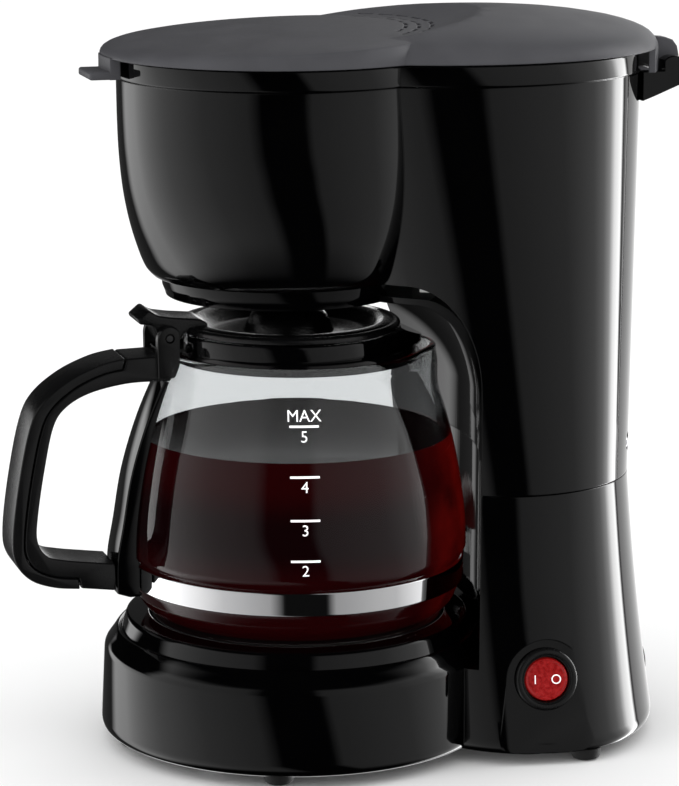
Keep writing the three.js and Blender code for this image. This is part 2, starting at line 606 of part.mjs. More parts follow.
function machineLid() {
  const shell = union(frontDome, rearDome).subtract(lidHollow);
  const skirt = ovalBlock(0, [LID_PIN.z + 0.3, LID_LOW + 1], LID_OVAL)
    .subtract(ovalBlock(-2, [230, LID_LOW + 2], LID_OVAL))
    .intersect(block([-28.5, 28.5], [110, 140], [220, 250]));
  const tab = cut(
    block([-9.6, 9.6], [-74, -60], [236, 238.8]),
    disc(59.2, 230, 240, { y: BOWL_Y }));
  const tabRoot = cut(
    block([-9.6, 9.6], [-69, -62], [236, 243.4]),
    disc(59.2, 230, 250, { y: BOWL_Y }));
  const tabOuter = turned([[0, 235], [61.5, 235], [61.5, 246], [0, 246]], { y: LID_FRONT.y });
  let lid = union(shell, skirt, union(tab, tabRoot.intersect(tabOuter)));
  for (const side of [-1, 1]) {
    const [x0, x1] = side < 0 ? [-16.6, -10.6] : [10.6, 16.6];
    const arm = union(
      barX(LUG_R - 0.4, LID_PIN.y, LID_PIN.z, x0, x1, 24),
      sideways([[128.2, 234.6], [LID_PIN.y + 4.6, 235.6], [134.4, 242], [130.6, 245.4], [126, 246],
        [126, 240]], x0, x1));
    lid = lid.add(arm);
    const clear = side < 0 ? [-23.5, -16.6] : [16.6, 23.5];
    lid = lid.subtract(barX(LUG_R + 0.4, LID_PIN.y, LID_PIN.z, clear[0], clear[1], 24));
  }
  lid = lid.subtract(barX(1.85, LID_PIN.y, LID_PIN.z, -30, 30));
  return ventSlots().reduce((left, slot) => left.subtract(slot), lid);
}

// Three arcs of short steam slots near the waist, all about the front dome's centre.
const VENT = { radii: [44, 48.5, 53], slotLength: 6.4, pitch: 9, halfSpanDeg: 46, width: 1.2 };

function ventSlots() {
  const slots = [];
  for (const radius of VENT.radii) {
    const stepDeg = VENT.pitch / radius / DEG;
    const count = Math.floor(VENT.halfSpanDeg / stepDeg);
    for (let i = -count; i <= count; i += 1) {
      const angle = 90 + i * stepDeg;
      const slot = new THREE.BoxGeometry(VENT.slotLength, VENT.width, 20);
      slot.rotateZ((angle + 90) * DEG);
      slot.translate(radius * Math.cos(angle * DEG), LID_FRONT.y + radius * Math.sin(angle * DEG), 254);
      slots.push(solid(slot));
    }
  }
  return slots;
}

// Shower head under the lid: a flat box with drip holes over the filter and an inlet at its rear.
function showerHead() {
  const outer = union(
    disc(25, 235.4, 241, { y: BOWL_Y, segments: 24 }),
    block([INLET.x - 7, INLET.x + 7], [13, 61], [235.4, 241]));
  const inner = union(
    disc(23.4, 237, 239.4, { y: BOWL_Y, segments: 24 }),
    block([INLET.x - 5.4, INLET.x + 5.4], [13, 59.4], [237, 239.4]));
  let head = outer.subtract(inner);
  for (let i = 0; i < 6; i += 1) {
    const angle = (i / 6) * 2 * Math.PI;
    head = head.subtract(disc(1.2, 230, 238, {
      x: 16 * Math.cos(angle), y: BOWL_Y + 16 * Math.sin(angle), segments: 8,
    }));
  }
  const post = disc(3, 240.6, 248.9, { y: BOWL_Y, segments: 10 });
  return union(head.subtract(disc(4, 230, 238, { ...INLET, segments: 14 })), post);
}

const lidPin = () => barX(1.5, LID_PIN.y, LID_PIN.z, -LID_PIN_HALF, LID_PIN_HALF, 14);

// ---------------------------------------------------------------- jug
const JUG_OUTER = [           // outer surface of the glass, from the foot to the rim
  [45, 45.8], [51, 47], [55.4, 50.6], [58.1, 57.6], [58.1, 66.4], [59.9, 69.6],
  [59.6, 79], [58.2, 91], [56, 103.5], [52.4, 118], [48.2, 130.5], [45.6, 136.6], [45.2, 138.8], [44.4,
    140],
];
const BAND = { low: 58, high: 66, inner: 58.45, outer: 59.1 };

const JUG_INNER = [
  [43, 140], [43.2, 136.6], [50.3, 118], [55.6, 95], [57.8, 77], [57.8, 70], [56.1, 66], [56.1,
    58], [53.6, 51.8],
  [50, 49], [44.4, 47.8], [0, 47.8],
];
const SPOUT = { reach: 5, halfAngleDeg: 34, start: 124, tip: 138 };

// The rim is drawn out at the rear into a pouring spout.
const drawSpout = (body) => body.warp((vertex) => {
  const off = Math.abs(Math.atan2(vertex[0], vertex[1])) / DEG / SPOUT.halfAngleDeg;
  const rise = Math.min(1, Math.max(0, (vertex[2] - SPOUT.start) / (SPOUT.tip - SPOUT.start)));
  if (off < 1 && rise > 0) {
    const push = SPOUT.reach * (Math.cos(off * Math.PI) + 1) / 2 * rise;
    const radius = Math.hypot(vertex[0], vertex[1]);
    vertex[0] *= 1 + push / radius;
    vertex[1] *= 1 + push / radius;
  }
});

const glassJug = () => drawSpout(turned([[0, 45.8], ...JUG_OUTER, ...JUG_INNER]));

const grownJug = (grow) => turned([
  [0, 40], [60, 40], [60, 50], ...JUG_OUTER.filter(([, z]) => z > 55).map(([r, z]) => [r + grow,
    z]), [44.8 + grow, 160], [0, 160],
]);

const steelBand = () => ring([[BAND.inner, BAND.low], [BAND.outer, BAND.low], [BAND.outer, BAND.high],
  [BAND.inner, BAND.high]]);

const COLLAR = { y: -2.6, outer: 39.4, inner: 36.6, low: 140.4, top: 147 };

// Plastic collar in the jug's mouth: a ring, a skirt inside the glass and a tongue over the spout.
function jugCollar() {
  const hoop = disc(COLLAR.outer, COLLAR.low, COLLAR.top, { y: COLLAR.y });
  const skirt = turned([[0, 137], [42.3, 137], [42.3, 140.1], [41.6, 141.4], [0, 141.4]]);
  const tongue = new THREE.Shape();
  tongue.moveTo(-22, 28);
  tongue.quadraticCurveTo(-12, 42, 0, 45.6);
  tongue.quadraticCurveTo(12, 42, 22, 28);
  tongue.lineTo(-22, 28);
  const cover = solid(new THREE.ExtrudeGeometry(tongue,
    { depth: 6.6, bevelEnabled: false, curveSegments: 6 })
    .translate(0, 0, COLLAR.low));
  const slope = sideways([[30, 148.6], [36, 146.2], [48, 141.2], [60, 141.2], [60, 150], [30, 150]],
    -30, 30);
  const lug = block([-8, 8], [-51, -40.3], [140.95, 142.5]);
  const channel = block([-6, 6], [31, 60], [130, 142.1]);
  return cut(
    union(hoop, skirt, cover.subtract(slope), lug),
    disc(COLLAR.inner, 130, 150, { y: COLLAR.y }),
    block([-8.7, 8.7], [-60, -33], [142.6, 150]),
    channel);
}

// The jug lid: flange, trough and dome in one moulding with its hinge bar and thumb lever.
function jugLid() {
  const dish = turned([
    [0, 143.8], [27.4, 143.8], [30, 147.5], [39, 147.5], [39, 148.9], [37.8, 149.9], [33.2,
      150.3], [31.2, 149.4], [26.4, 145.7], [0, 145.7],
  ], { y: COLLAR.y });
  const dome = turned([[0, 144], [15.2, 144], [14.6, 148], [12.6, 152], [9.4, 154.3], [5, 155],
    [0, 155]], { y: DRIP_Y, segments: 24 });
  const hollow = turned([[0, 140], [13.4, 140], [12.8, 147.4], [11, 150.8], [8, 152.6], [4.6, 153.2],
    [0, 153.2]], { y: DRIP_Y, segments: 24 });
  const lever = sideways([
    [-33.5, 147.7], [-41.6, 147.7], [-44.2, 144.6], [-47.4, 143.2], [-50.6, 144.8], [-51.4,
      147.4], [-52.8, 151.2],
    [-57.4, 151.6], [-58.2, 153.2], [-54.2, 156.6], [-51, 154.4], [-45, 153.4], [-36, 152.6], [-33.5, 151],
  ], -8, 8);
  return cut(
    union(dish, dome, lever),
    hollow,
    disc(2, 150, 158, { y: DRIP_Y + 8, segments: 12 }),
    barX(1.65, JUG_PIN.y, JUG_PIN.z, -20, 20));
}

const jugPin = () => barX(1.3, JUG_PIN.y, JUG_PIN.z, -11.4, 11.4, 14);

const spline = (points) => new THREE.SplineCurve(points.map(([y, z]) => new THREE.Vector2(y, z)));
const GRIP_OUTER = [
  [-63, 140.5], [-72, 138.7], [-83, 133.9], [-92.4, 126.4], [-97, 117], [-101, 98], [-103.3, 80],
  [-102.4, 71], [-97.2, 64.6], [-89, 61.4], [-80, 60.3],
];
const GRIP_SEAM = [
  [-64, 136.6], [-71.5, 135.2], [-81, 131], [-89, 124.3], [-93, 116], [-96.9, 97.6], [-99.2, 80],
  [-98.6, 72.6], [-94.8, 67.6], [-88, 64.9], [-80.6, 64],
];
const HANDLE_INNER = [
  [-52, 131.8], [-63, 131.5], [-75.5, 128.9], [-83.8, 124.4], [-88.2, 118], [-91.4, 104], [-94, 88],
  [-94.5, 78.5], [-91.3, 72.8], [-85, 70.9], [-75, 69.4], [-67.4, 68.4],
];

// Stiff inner half of the D-shaped handle, with its hinge ears and the root on the strap.
function handleCore() {
  const outline = [
    [-50, 140.6], [-62.6, 140.3], ...spline(GRIP_SEAM).getPoints(30).map((p) => [p.x + GAP, p.y]),
    [-79.6, 60.4], [-67.4, 58.8], ...spline(HANDLE_INNER).getPoints(30).map((p) => [p.x,
      p.y]).reverse(), [-47, 131.6], [-46, 140.6],
  ];
  const core = sideways(outline, -9.6, 9.6);
  const ear = sideways([
    [-52, 133], [-52.2, 147], [-50.6, 150.2], [-47.7, 151.4], [-44.8, 150.2], [-43.4, 146.9], [-44,
      138], [-46, 133],
  ], -11.6, 11.6);
  const hingeGap = block([-8.4, 8.4], [-60, -40], [140.6, 160]);
  return cut(
    union(core, ear.subtract(hingeGap)),
    grownJug(GAP),
    disc(45.8, 130, 160),
    barY(1.8, 0, 62, -76, -60),
    barX(1.65, JUG_PIN.y, JUG_PIN.z, -20, 20));
}

function handleGrip() {
  const outline = [
    ...spline(GRIP_OUTER).getPoints(30).map((p) => [p.x, p.y]),
    ...spline(GRIP_SEAM).getPoints(30).map((p) => [p.x, p.y]).reverse(),
  ];
  return sideways(outline, -10, 10);
}

// Strap that follows the glass from the collar to the steel band and holds the handle's foot.
function handleStrap() {
  const outer = [[-40, 140], [-46.2, 136], [-51.2, 127], [-56.6, 114], [-61.4, 98], [-64.4, 81],
    [-66.6, 68.5], [-66.8, 57.2]];
  const outline = [...outer, [-62, 55.6], [-50, 56], [-38, 120]];
  const clearBand = disc(BAND.outer + GAP, BAND.low - 1, BAND.high + 1);
  return cut(sideways(outline, -8.6, 8.6), grownJug(GAP), clearBand, disc(45.8, 136.4, 160),
    handleRootClear(), barY(1.9, 0, 62, -80, -50), barY(3.6, 0, 62, -64.4, -50));
}

const handleRootClear = () => block([-10, 10], [-60, -44], [131.2, 145]);

const strapScrew = () => union(barY(3.2, 0, 62, -64.2, -62), barY(1.5, 0, 62, -74, -64.2));

// ---------------------------------------------------------------- assembly
const PIECES = [
  ['base_housing', baseHousing, 'black'],
  ['base_plate', basePlate, 'matte'],
  ...FOOT_PLACES.map((place, i) => [`foot_${i + 1}`, () => foot(place), 'rubber']),
  ...SCREW_PLACES.map((place, i) => [`base_screw_${i + 1}`, () => baseScrew(place), 'steel']),
  ['cord_inlet', cordInlet, 'matte'],
  ['warming_plate', warmingPlate, 'plate'],
  ['heater_block', heaterBlock, 'aluminium'],
  ['heater_bridge', heaterBridge, 'steel'],
  ['bridge_screw', bridgeScrew, 'steel'],
  ['thermostat', thermostat, 'steel'],
  ['thermal_fuse', thermalFuse, 'steel'],
  ['switch_body', switchBody, 'matte'],
  ['switch_rocker', rocker, 'red'],
  ['upper_housing', upperHousing, 'black'],
  ['bay_liner', bayLiner, 'black'],
  ['back_cover', backCover, 'black'],
  ['cover_screw_left', () => coverScrew(-1), 'steel'],
  ['cover_screw_right', () => coverScrew(1), 'steel'],
  ['water_tank', waterTank, 'hose'],
  ['check_valve_body', valveBody, 'matte'],
  ['check_valve_ball', valveBall, 'steel'],
  ['cold_water_hose', coldHose, 'hose'],
  ['hot_water_hose', hotHose, 'hose'],
  ['riser_pipe', riserPipe, 'hose'],
  ['spout_nozzle', spoutNozzle, 'matte'],
  ['brew_basket', brewBasket, 'matte'],
  ['filter_cone', filterCone, 'mesh'],
  ['drip_stop_plunger', plunger, 'matte'],
  ['drip_stop_seal', dripSeal, 'rubber'],
  ['drip_stop_spring', dripSpring, 'steel'],
  ['machine_lid', machineLid, 'satin'],
  ['shower_head', showerHead, 'matte'],
  ['lid_hinge_pin', lidPin, 'steel'],
  ['glass_jug', glassJug, 'glass'],
  ['steel_band', steelBand, 'steel'],
  ['jug_collar', jugCollar, 'black'],
  ['jug_lid', jugLid, 'black'],
  ['jug_hinge_pin', jugPin, 'steel'],
  ['jug_handle', handleCore, 'black'],
  ['handle_grip', handleGrip, 'matte'],
  ['handle_strap', handleStrap, 'black'],
  ['strap_screw', strapScrew, 'steel'],
];

const coffeeMaker = new THREE.Group();
coffeeMaker.position.y = -ORIGIN_Y;
for (const [name, make, colour] of PIECES) {
  const material = new THREE.MeshStandardMaterial({ metalness: 0, ...COLOURS[colour] });
  const mesh = new THREE.Mesh(geometryOf(make(), FLATNESS), material);
  mesh.name = name;
  coffeeMaker.add(mesh);
}

export default coffeeMaker;
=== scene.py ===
"""Drip coffee maker: the finished look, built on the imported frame.

Shapes are drawn in millimetres about the jug's axis, +Z up, the jug's handle towards -Y and the
switch towards +X, as the CAD is. place() moves each one to the row's frame, in metres.
"""
import math

import bmesh
import bpy
from mathutils import Matrix, Vector


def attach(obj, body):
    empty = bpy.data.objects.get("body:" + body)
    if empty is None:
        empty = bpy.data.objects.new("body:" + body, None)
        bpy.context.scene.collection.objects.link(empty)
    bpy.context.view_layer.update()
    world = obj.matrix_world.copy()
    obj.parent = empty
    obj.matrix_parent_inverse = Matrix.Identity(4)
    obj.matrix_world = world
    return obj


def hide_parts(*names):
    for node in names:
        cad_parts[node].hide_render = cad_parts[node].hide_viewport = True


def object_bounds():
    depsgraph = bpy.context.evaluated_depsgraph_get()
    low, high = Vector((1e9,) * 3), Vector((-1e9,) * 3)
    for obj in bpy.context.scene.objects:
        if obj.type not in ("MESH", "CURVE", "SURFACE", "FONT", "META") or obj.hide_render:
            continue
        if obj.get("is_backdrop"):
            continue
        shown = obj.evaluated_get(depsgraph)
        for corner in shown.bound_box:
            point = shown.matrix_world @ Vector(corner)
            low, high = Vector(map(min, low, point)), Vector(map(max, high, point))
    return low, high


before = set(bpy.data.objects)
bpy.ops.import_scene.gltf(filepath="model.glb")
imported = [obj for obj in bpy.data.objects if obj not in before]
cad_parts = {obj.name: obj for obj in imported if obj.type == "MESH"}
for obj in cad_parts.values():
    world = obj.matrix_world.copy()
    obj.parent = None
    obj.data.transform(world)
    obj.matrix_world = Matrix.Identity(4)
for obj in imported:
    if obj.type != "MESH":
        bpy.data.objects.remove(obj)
CAD_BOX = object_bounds()

MM = 0.001
ORIGIN_Y = 16.2          # the row's origin, behind the jug's axis
SEG = 180                # segments of the large round shells
RAD = math.pi / 180


# ------------------------------------------------------------------ camera
CAMERA_AZIMUTH = 74      # 0 looks along +Y, 90 along -X
CAMERA_PITCH = 11.72     # degrees down
CAMERA_PLACE = (1.1386, -0.3268, 0.3678)


def add_camera():
    data = bpy.data.cameras.new("camera")
    data.lens = 157.5
    data.sensor_width = 36
    data.clip_start = 0.05
    camera = bpy.data.objects.new("camera", data)
    azimuth, pitch = CAMERA_AZIMUTH * RAD, CAMERA_PITCH * RAD
    back = Vector((math.sin(azimuth) * math.cos(pitch), -math.cos(azimuth) * math.cos(pitch),
        math.sin(pitch)))
    camera.location = CAMERA_PLACE
    camera.rotation_euler = (-back).to_track_quat("-Z", "Y").to_euler()
    bpy.context.scene.collection.objects.link(camera)
    bpy.context.scene.camera = camera


# ------------------------------------------------------------------ mesh helpers
def soften(profile, steps=5):
    """Rounds the corners of an outline: a third value on a point is its rounding radius."""
    points = []
    count = len(profile)
    for i, point in enumerate(profile):
        if len(point) < 3:
            points.append(tuple(point))
            continue
        here = Vector(point[:2])
        before = Vector(profile[(i - 1) % count][:2]) - here
        after = Vector(profile[(i + 1) % count][:2]) - here
        reach = min(point[2], before.length * 0.49, after.length * 0.49)
        start, end = here + before.normalized() * reach, here + after.normalized() * reach
        for k in range(steps + 1):
            t = k / steps
            points.append(tuple(start * (1 - t) ** 2 + here * 2 * t * (1 - t) + end * t ** 2))
    return points


def smooth_curve(points, steps=8):
    """Catmull-Rom curve through the points."""
    ends = [points[0]] + list(points) + [points[-1]]
    curve = []
    for p0, p1, p2, p3 in zip(ends, ends[1:], ends[2:], ends[3:]):
        for k in range(steps):
            t = k / steps
            curve.append(tuple(
                0.5 * (2 * b + (c - a) * t + (2 * a - 5 * b + 4 * c - d) * t ** 2
                       + (3 * b - a - 3 * c + d) * t ** 3)
                for a, b, c, d in zip(p0, p1, p2, p3)))
    return curve + [tuple(points[-1])]


def raw_object(verts, faces):
    """A closed mesh as a scene object, its faces turned outwards."""
    mesh = bpy.data.meshes.new("shape")
    mesh.from_pydata(verts, [], faces)
    bm = bmesh.new()
    bm.from_mesh(mesh)
    bmesh.ops.remove_doubles(bm, verts=bm.verts, dist=1e-4)
    if bm.calc_volume(signed=True) < 0:
        bmesh.ops.reverse_faces(bm, faces=bm.faces)
    bm.to_mesh(mesh)
    bm.free()
    obj = bpy.data.objects.new("shape", mesh)
    bpy.context.scene.collection.objects.link(obj)
    return obj


def lathe(rows, point, seg=SEG):
    """Revolves rows. point(row, cos, sin) is the vertex; a row on the axis ends the shape."""
    on_axis = [row[0] is None or row[0] == 0 for row in rows]
    closed = not on_axis[0]
    verts, starts = [], []
    for row, axis in zip(rows, on_axis):
        starts.append(len(verts))
        for i in range(1 if axis else seg):
            angle = 2 * math.pi * i / seg
            verts.append(point(row, math.cos(angle), math.sin(angle)))
    faces = []
    pairs = list(zip(range(len(rows)), range(1, len(rows))))
    if closed:
        pairs.append((len(rows) - 1, 0))
    for a, b in pairs:
        for i in range(seg):
            j = (i + 1) % seg
            low = [starts[a]] if on_axis[a] else [starts[a] + i, starts[a] + j]
            high = [starts[b]] if on_axis[b] else [starts[b] + j, starts[b] + i]
            if len(low) + len(high) > 2:
                faces.append(low + high)
    return raw_object(verts, faces)


def turned(profile, x=0.0, y=0.0, seg=SEG):
    return lathe(soften(profile), lambda row, c, s: (x + row[0] * c, y + row[0] * s, row[1]), seg)


def disc(radius, z0, z1, x=0.0, y=0.0, seg=SEG):
    return turned([(0, z0), (radius, z0), (radius, z1), (0, z1)], x, y, seg)


def block(xs, ys, zs):
    verts = [(x, y, z) for x in xs for y in ys for z in zs]
    faces = [(0, 1, 3, 2), (4, 6, 7, 5), (0, 4, 5, 1), (2, 3, 7, 6), (0, 2, 6, 4), (1, 5, 7, 3)]
    return raw_object(verts, faces)


def prism(outline, x0, x1, round_edge=0.0, segments=4):
    """Extrudes a side outline of (y, z) points from x0 to x1, with its long edges rounded."""
    count = len(outline)
    verts = [(x0, y, z) for y, z in outline] + [(x1, y, z) for y, z in outline]
    faces = [list(range(count)), list(range(2 * count - 1, count - 1, -1))]
    for i in range(count):
        j = (i + 1) % count
        faces.append([i, i + count, j + count, j])
    obj = raw_object(verts, faces)
    if round_edge:
        bevel = obj.modifiers.new("round", "BEVEL")
        bevel.width = round_edge
        bevel.segments = segments
        bevel.limit_method = "ANGLE"
        bevel.angle_limit = 50 * RAD
        bevel.harden_normals = False
        apply_modifiers(obj)
    return obj


def apply_modifiers(obj):
    depsgraph = bpy.context.evaluated_depsgraph_get()
    mesh = bpy.data.meshes.new_from_object(obj.evaluated_get(depsgraph))
    obj.modifiers.clear()
    obj.data = mesh
    return obj


def combine(base, others, operation):
    for other in others:
        modifier = base.modifiers.new("boolean", "BOOLEAN")
        modifier.operation = operation
        modifier.solver = "MANIFOLD"
        modifier.object = other
    apply_modifiers(base)
    for other in others:
        bpy.data.objects.remove(other)
    return base


def join(base, *others):
    return combine(base, others, "UNION")


def cut(base, *others):
    return combine(base, others, "DIFFERENCE")


def common(base, *others):
    return combine(base, others, "INTERSECT")


def move(obj, matrix):
    obj.data.transform(matrix)
    return obj


def along_y(obj, x, z):
    """Turns a shape lathed about Z so that its axis points to +Y through (x, z)."""
    return move(obj, Matrix.Translation((x, 0, z)) @ Matrix.Rotation(-math.pi / 2, 4, "X"))


def along_x(obj, y, z):
    return move(obj, Matrix.Translation((0, y, z)) @ Matrix.Rotation(math.pi / 2, 4, "Y"))


def copy_of(obj):
    twin = bpy.data.objects.new("shape", obj.data.copy())
    bpy.context.scene.collection.objects.link(twin)
    return twin


def place(obj, name, body, material, replaced=(), sharp=32):
    """Names a finished shape, moves it to the row's frame and ties it to its body."""
    obj.name = name
    obj.data.name = name
    obj.data.transform(Matrix.Scale(MM, 4) @ Matrix.Translation((0, -ORIGIN_Y, 0)))
    obj.data.polygons.foreach_set("use_smooth", [True] * len(obj.data.polygons))
    obj.data.set_sharp_from_angle(angle=sharp * RAD)
    obj.data.materials.clear()
    obj.data.materials.append(material)
    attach(obj, body)
    if replaced:
        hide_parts(*replaced)
    return obj


# ------------------------------------------------------------------ materials
def node_tree(name):
    material = bpy.data.materials.new(name)
    material.use_nodes = True
    tree = material.node_tree
    shader = next(node for node in tree.nodes if node.type == "BSDF_PRINCIPLED")
    return material, tree, shader


def noise(tree, scale, detail=3.0):
    coords = tree.nodes.new("ShaderNodeTexCoord")
    texture = tree.nodes.new("ShaderNodeTexNoise")
    texture.inputs["Scale"].default_value = scale
    texture.inputs["Detail"].default_value = detail
    tree.links.new(coords.outputs["Object"], texture.inputs["Vector"])
    return texture.outputs["Fac"]


def spread(tree, value, low, high):
    """Maps a 0 to 1 noise to the range from low to high."""
    node = tree.nodes.new("ShaderNodeMapRange")
    node.inputs["From Min"].default_value = 0.3
    node.inputs["From Max"].default_value = 0.7
    node.inputs["To Min"].default_value = low
    node.inputs["To Max"].default_value = high
    tree.links.new(value, node.inputs["Value"])
    return node.outputs["Result"]


def maths(tree, operation, a, b=None):
    """A math node on two sockets or numbers."""
    node = tree.nodes.new("ShaderNodeMath")
    node.operation = operation
    for socket, value in zip(node.inputs, (a, b)):
        if isinstance(value, (int, float)):
            socket.default_value = value
        elif value is not None:
            tree.links.new(value, socket)
    return node.outputs[0]


def ranged(tree, value, low, high, start=0.0, end=1.0):
    """A smooth step from start at low to end at high."""
    node = tree.nodes.new("ShaderNodeMapRange")
    node.interpolation_type = "SMOOTHSTEP"
    for name, number in (("From Min", low), ("From Max", high), ("To Min", start), ("To Max", end)):
        node.inputs[name].default_value = number
    tree.links.new(value, node.inputs["Value"])
    return node.outputs["Result"]


def parts_of(tree, vector):
    node = tree.nodes.new("ShaderNodeSeparateXYZ")
    tree.links.new(vector, node.inputs[0])
    return node.outputs


def tint(tree, value, dark, light):
    node = tree.nodes.new("ShaderNodeMix")
    node.data_type = "RGBA"
    tree.links.new(value, node.inputs["Factor"])
    node.inputs["A"].default_value = (*dark, 1)
    node.inputs["B"].default_value = (*light, 1)
    return node.outputs["Result"]


def surface(name, dark, light, rough, grain=60.0, bump=None, edge=0.0, **values):
    """A plastic, rubber or metal: colour and roughness vary with a soft noise, bump is (scale, depth in mm)
    of a fine surface texture, and edge is the radius in mm that sharp edges are rounded to."""
    material, tree, shader = node_tree(name)
    cloud = noise(tree, grain)
    tree.links.new(tint(tree, spread(tree, cloud, 0, 1), dark, light), shader.inputs["Base Color"])
    tree.links.new(spread(tree, cloud, rough[0], rough[1]), shader.inputs["Roughness"])
    normal = None
    if edge:
        bevel = tree.nodes.new("ShaderNodeBevel")
        bevel.samples = 6
        bevel.inputs["Radius"].default_value = edge * MM
        normal = bevel.outputs["Normal"]
    if bump:
        node = tree.nodes.new("ShaderNodeBump")
        node.inputs["Distance"].default_value = bump[1] * MM
        tree.links.new(noise(tree, bump[0], 2.0), node.inputs["Height"])
        if normal:
            tree.links.new(normal, node.inputs["Normal"])
        normal = node.outputs["Normal"]
    if normal:
        tree.links.new(normal, shader.inputs["Normal"])
    for key, value in values.items():
        shader.inputs[key.replace("_", " ")].default_value = value
    return material


BACKLIGHT_GLOW_FROM_TO = (0.012, 0.042)    # where along Y, in metres, the coffee's painted red glow of backlight begins and is full
MIDDLE_Z = 0.084                 # height of its palest, least red level


def glass_material():
    """Clear glass that lets light through to what stands behind it."""
    material, tree, shader = node_tree("clear_glass")
    shader.inputs["Base Color"].default_value = (0.8, 0.815, 0.82, 1)
    shader.inputs["Transmission Weight"].default_value = 1
    shader.inputs["IOR"].default_value = 1.46
    tree.links.new(spread(tree, noise(tree, 25.0), 0.0, 0.012), shader.inputs["Roughness"])
    paths = tree.nodes.new("ShaderNodeLightPath")
    clear = tree.nodes.new("ShaderNodeBsdfTransparent")
    clear.inputs["Color"].default_value = (0.93, 0.95, 0.95, 1)
    mix = tree.nodes.new("ShaderNodeMixShader")
    either = maths(tree, "MAXIMUM", paths.outputs["Is Shadow Ray"], paths.outputs["Is Diffuse Ray"])
    tree.links.new(either, mix.inputs["Fac"])
    tree.links.new(shader.outputs[0], mix.inputs[1])
    tree.links.new(clear.outputs[0], mix.inputs[2])
    output = next(node for node in tree.nodes if node.type == "OUTPUT_MATERIAL")
    tree.links.new(mix.outputs[0], output.inputs["Surface"])
    return material


def coffee_material():
    """Dark brown liquid with painted light: its sides carry a painted red glow towards the spout, standing
    in for light shining through it from behind. They are less red in the middle of its height, and all of
    its colour also feeds emission, so the liquid glows though it is no lamp. The tints depend only on the
    place in the jug, so they stay put from every side."""
    material, tree, shader = node_tree("coffee")
    place_in_jug = parts_of(tree, tree.nodes.new("ShaderNodeTexCoord").outputs["Object"])
    normal = parts_of(tree, tree.nodes.new("ShaderNodeNewGeometry").outputs["Normal"])
    on_side = ranged(tree, normal["Z"], 0.35, 0.8, 1.0, 0.0)
    # painted backlight: the sides glow red towards the spout, as if lit through from behind
    backlit_towards_spout = ranged(tree, place_in_jug["Y"], *BACKLIGHT_GLOW_FROM_TO)
    mottled = spread(tree, noise(tree, 45.0, 4.0), 0.25, 1.3)
    painted_backlight_glow = maths(tree, "MULTIPLY", maths(tree, "MULTIPLY", backlit_towards_spout, on_side), mottled)
    off_middle = ranged(tree, maths(tree, "ABSOLUTE",
        maths(tree, "SUBTRACT", place_in_jug["Z"], MIDDLE_Z)), 0.004, 0.018)
    wall = tint(tree, off_middle, (0.0028, 0.0004, 0.0006), (0.0092, 0.0004, 0.0006))
    body = tint(tree, on_side, (0.0016, 0.0006, 0.0006), (0, 0, 0))
    tree.links.new(wall, body.node.inputs["B"])
    colour = tint(tree, painted_backlight_glow, (0, 0, 0), (0.12, 0.003, 0.002))
    tree.links.new(body, colour.node.inputs["A"])
    tree.links.new(colour, shader.inputs["Base Color"])
    # the colour also drives emission, so the painted glow and tints shine from the liquid itself
    tree.links.new(colour, shader.inputs["Emission Color"])
    shader.inputs["Emission Strength"].default_value = 0.75
    shader.inputs["Roughness"].default_value = 0.06
    shader.inputs["IOR"].default_value = 1.02
    return material


def rocker_material():
    material, tree, shader = node_tree("rocker_red")
    cloud = noise(tree, 900.0, 2.0)
    tree.links.new(tint(tree, spread(tree, cloud, 0, 1), (0.15, 0.003, 0.004), (0.3, 0.008, 0.009)),
                   shader.inputs["Base Color"])
    tree.links.new(spread(tree, cloud, 0.12, 0.24), shader.inputs["Roughness"])
    # a faint red emission: a painted glow that brightens the cap
    shader.inputs["Emission Color"].default_value = (0.6, 0.02, 0.015, 1)
    shader.inputs["Emission Strength"].default_value = 0.1
    shader.inputs["Subsurface Weight"].default_value = 0.0
    return material


def mesh_material():
    """Fine woven nylon: two crossed sets of threads."""
    material, tree, shader = node_tree("filter_mesh")
    coords = tree.nodes.new("ShaderNodeTexCoord")
    heights = []
    for direction in ("X", "Z"):
        wave = tree.nodes.new("ShaderNodeTexWave")
        wave.bands_direction = direction
        wave.inputs["Scale"].default_value = 420.0
        wave.inputs["Distortion"].default_value = 0.3
        tree.links.new(coords.outputs["Object"], wave.inputs["Vector"])
        heights.append(wave.outputs["Fac"])
    weave = maths(tree, "MAXIMUM", *heights)
    tree.links.new(tint(tree, weave, (0.05, 0.03, 0.012), (0.42, 0.27, 0.1)), shader.inputs["Base Color"])
    bump = tree.nodes.new("ShaderNodeBump")
    bump.inputs["Distance"].default_value = 0.0002
    tree.links.new(weave, bump.inputs["Height"])
    tree.links.new(bump.outputs["Normal"], shader.inputs["Normal"])
    shader.inputs["Roughness"].default_value = 0.5
    return material


GLOSS = surface("gloss_black", (0.0003, 0.0003, 0.0004), (0.0006, 0.0006, 0.0007), (0.025, 0.04),
                bump=(90.0, 0.004), edge=0.5)
SATIN = surface("satin_lid", (0.058, 0.058, 0.064), (0.068, 0.068, 0.075), (0.42, 0.5),
                bump=(2600.0, 0.05), edge=0.7, Specular_IOR_Level=0.25)
GRIP = surface("soft_grip", (0.002, 0.002, 0.0022), (0.0036, 0.0036, 0.0038), (0.22, 0.3),
    bump=(3200.0, 0.03), edge=0.3)
STIPPLE = surface("stippled_black", (0.0015, 0.0015, 0.0016), (0.003, 0.003, 0.0032), (0.12, 0.2),
                  bump=(1500.0, 0.12), edge=0.4)
INNER = surface("inner_black", (0.0025, 0.0025, 0.0027), (0.0045, 0.0045, 0.0047), (0.2, 0.32),
    bump=(1800.0, 0.04), edge=0.4)
RUBBER = surface("foot_rubber", (0.006, 0.006, 0.006), (0.012, 0.012, 0.012), (0.6, 0.8),
    bump=(900.0, 0.08), edge=0.4)
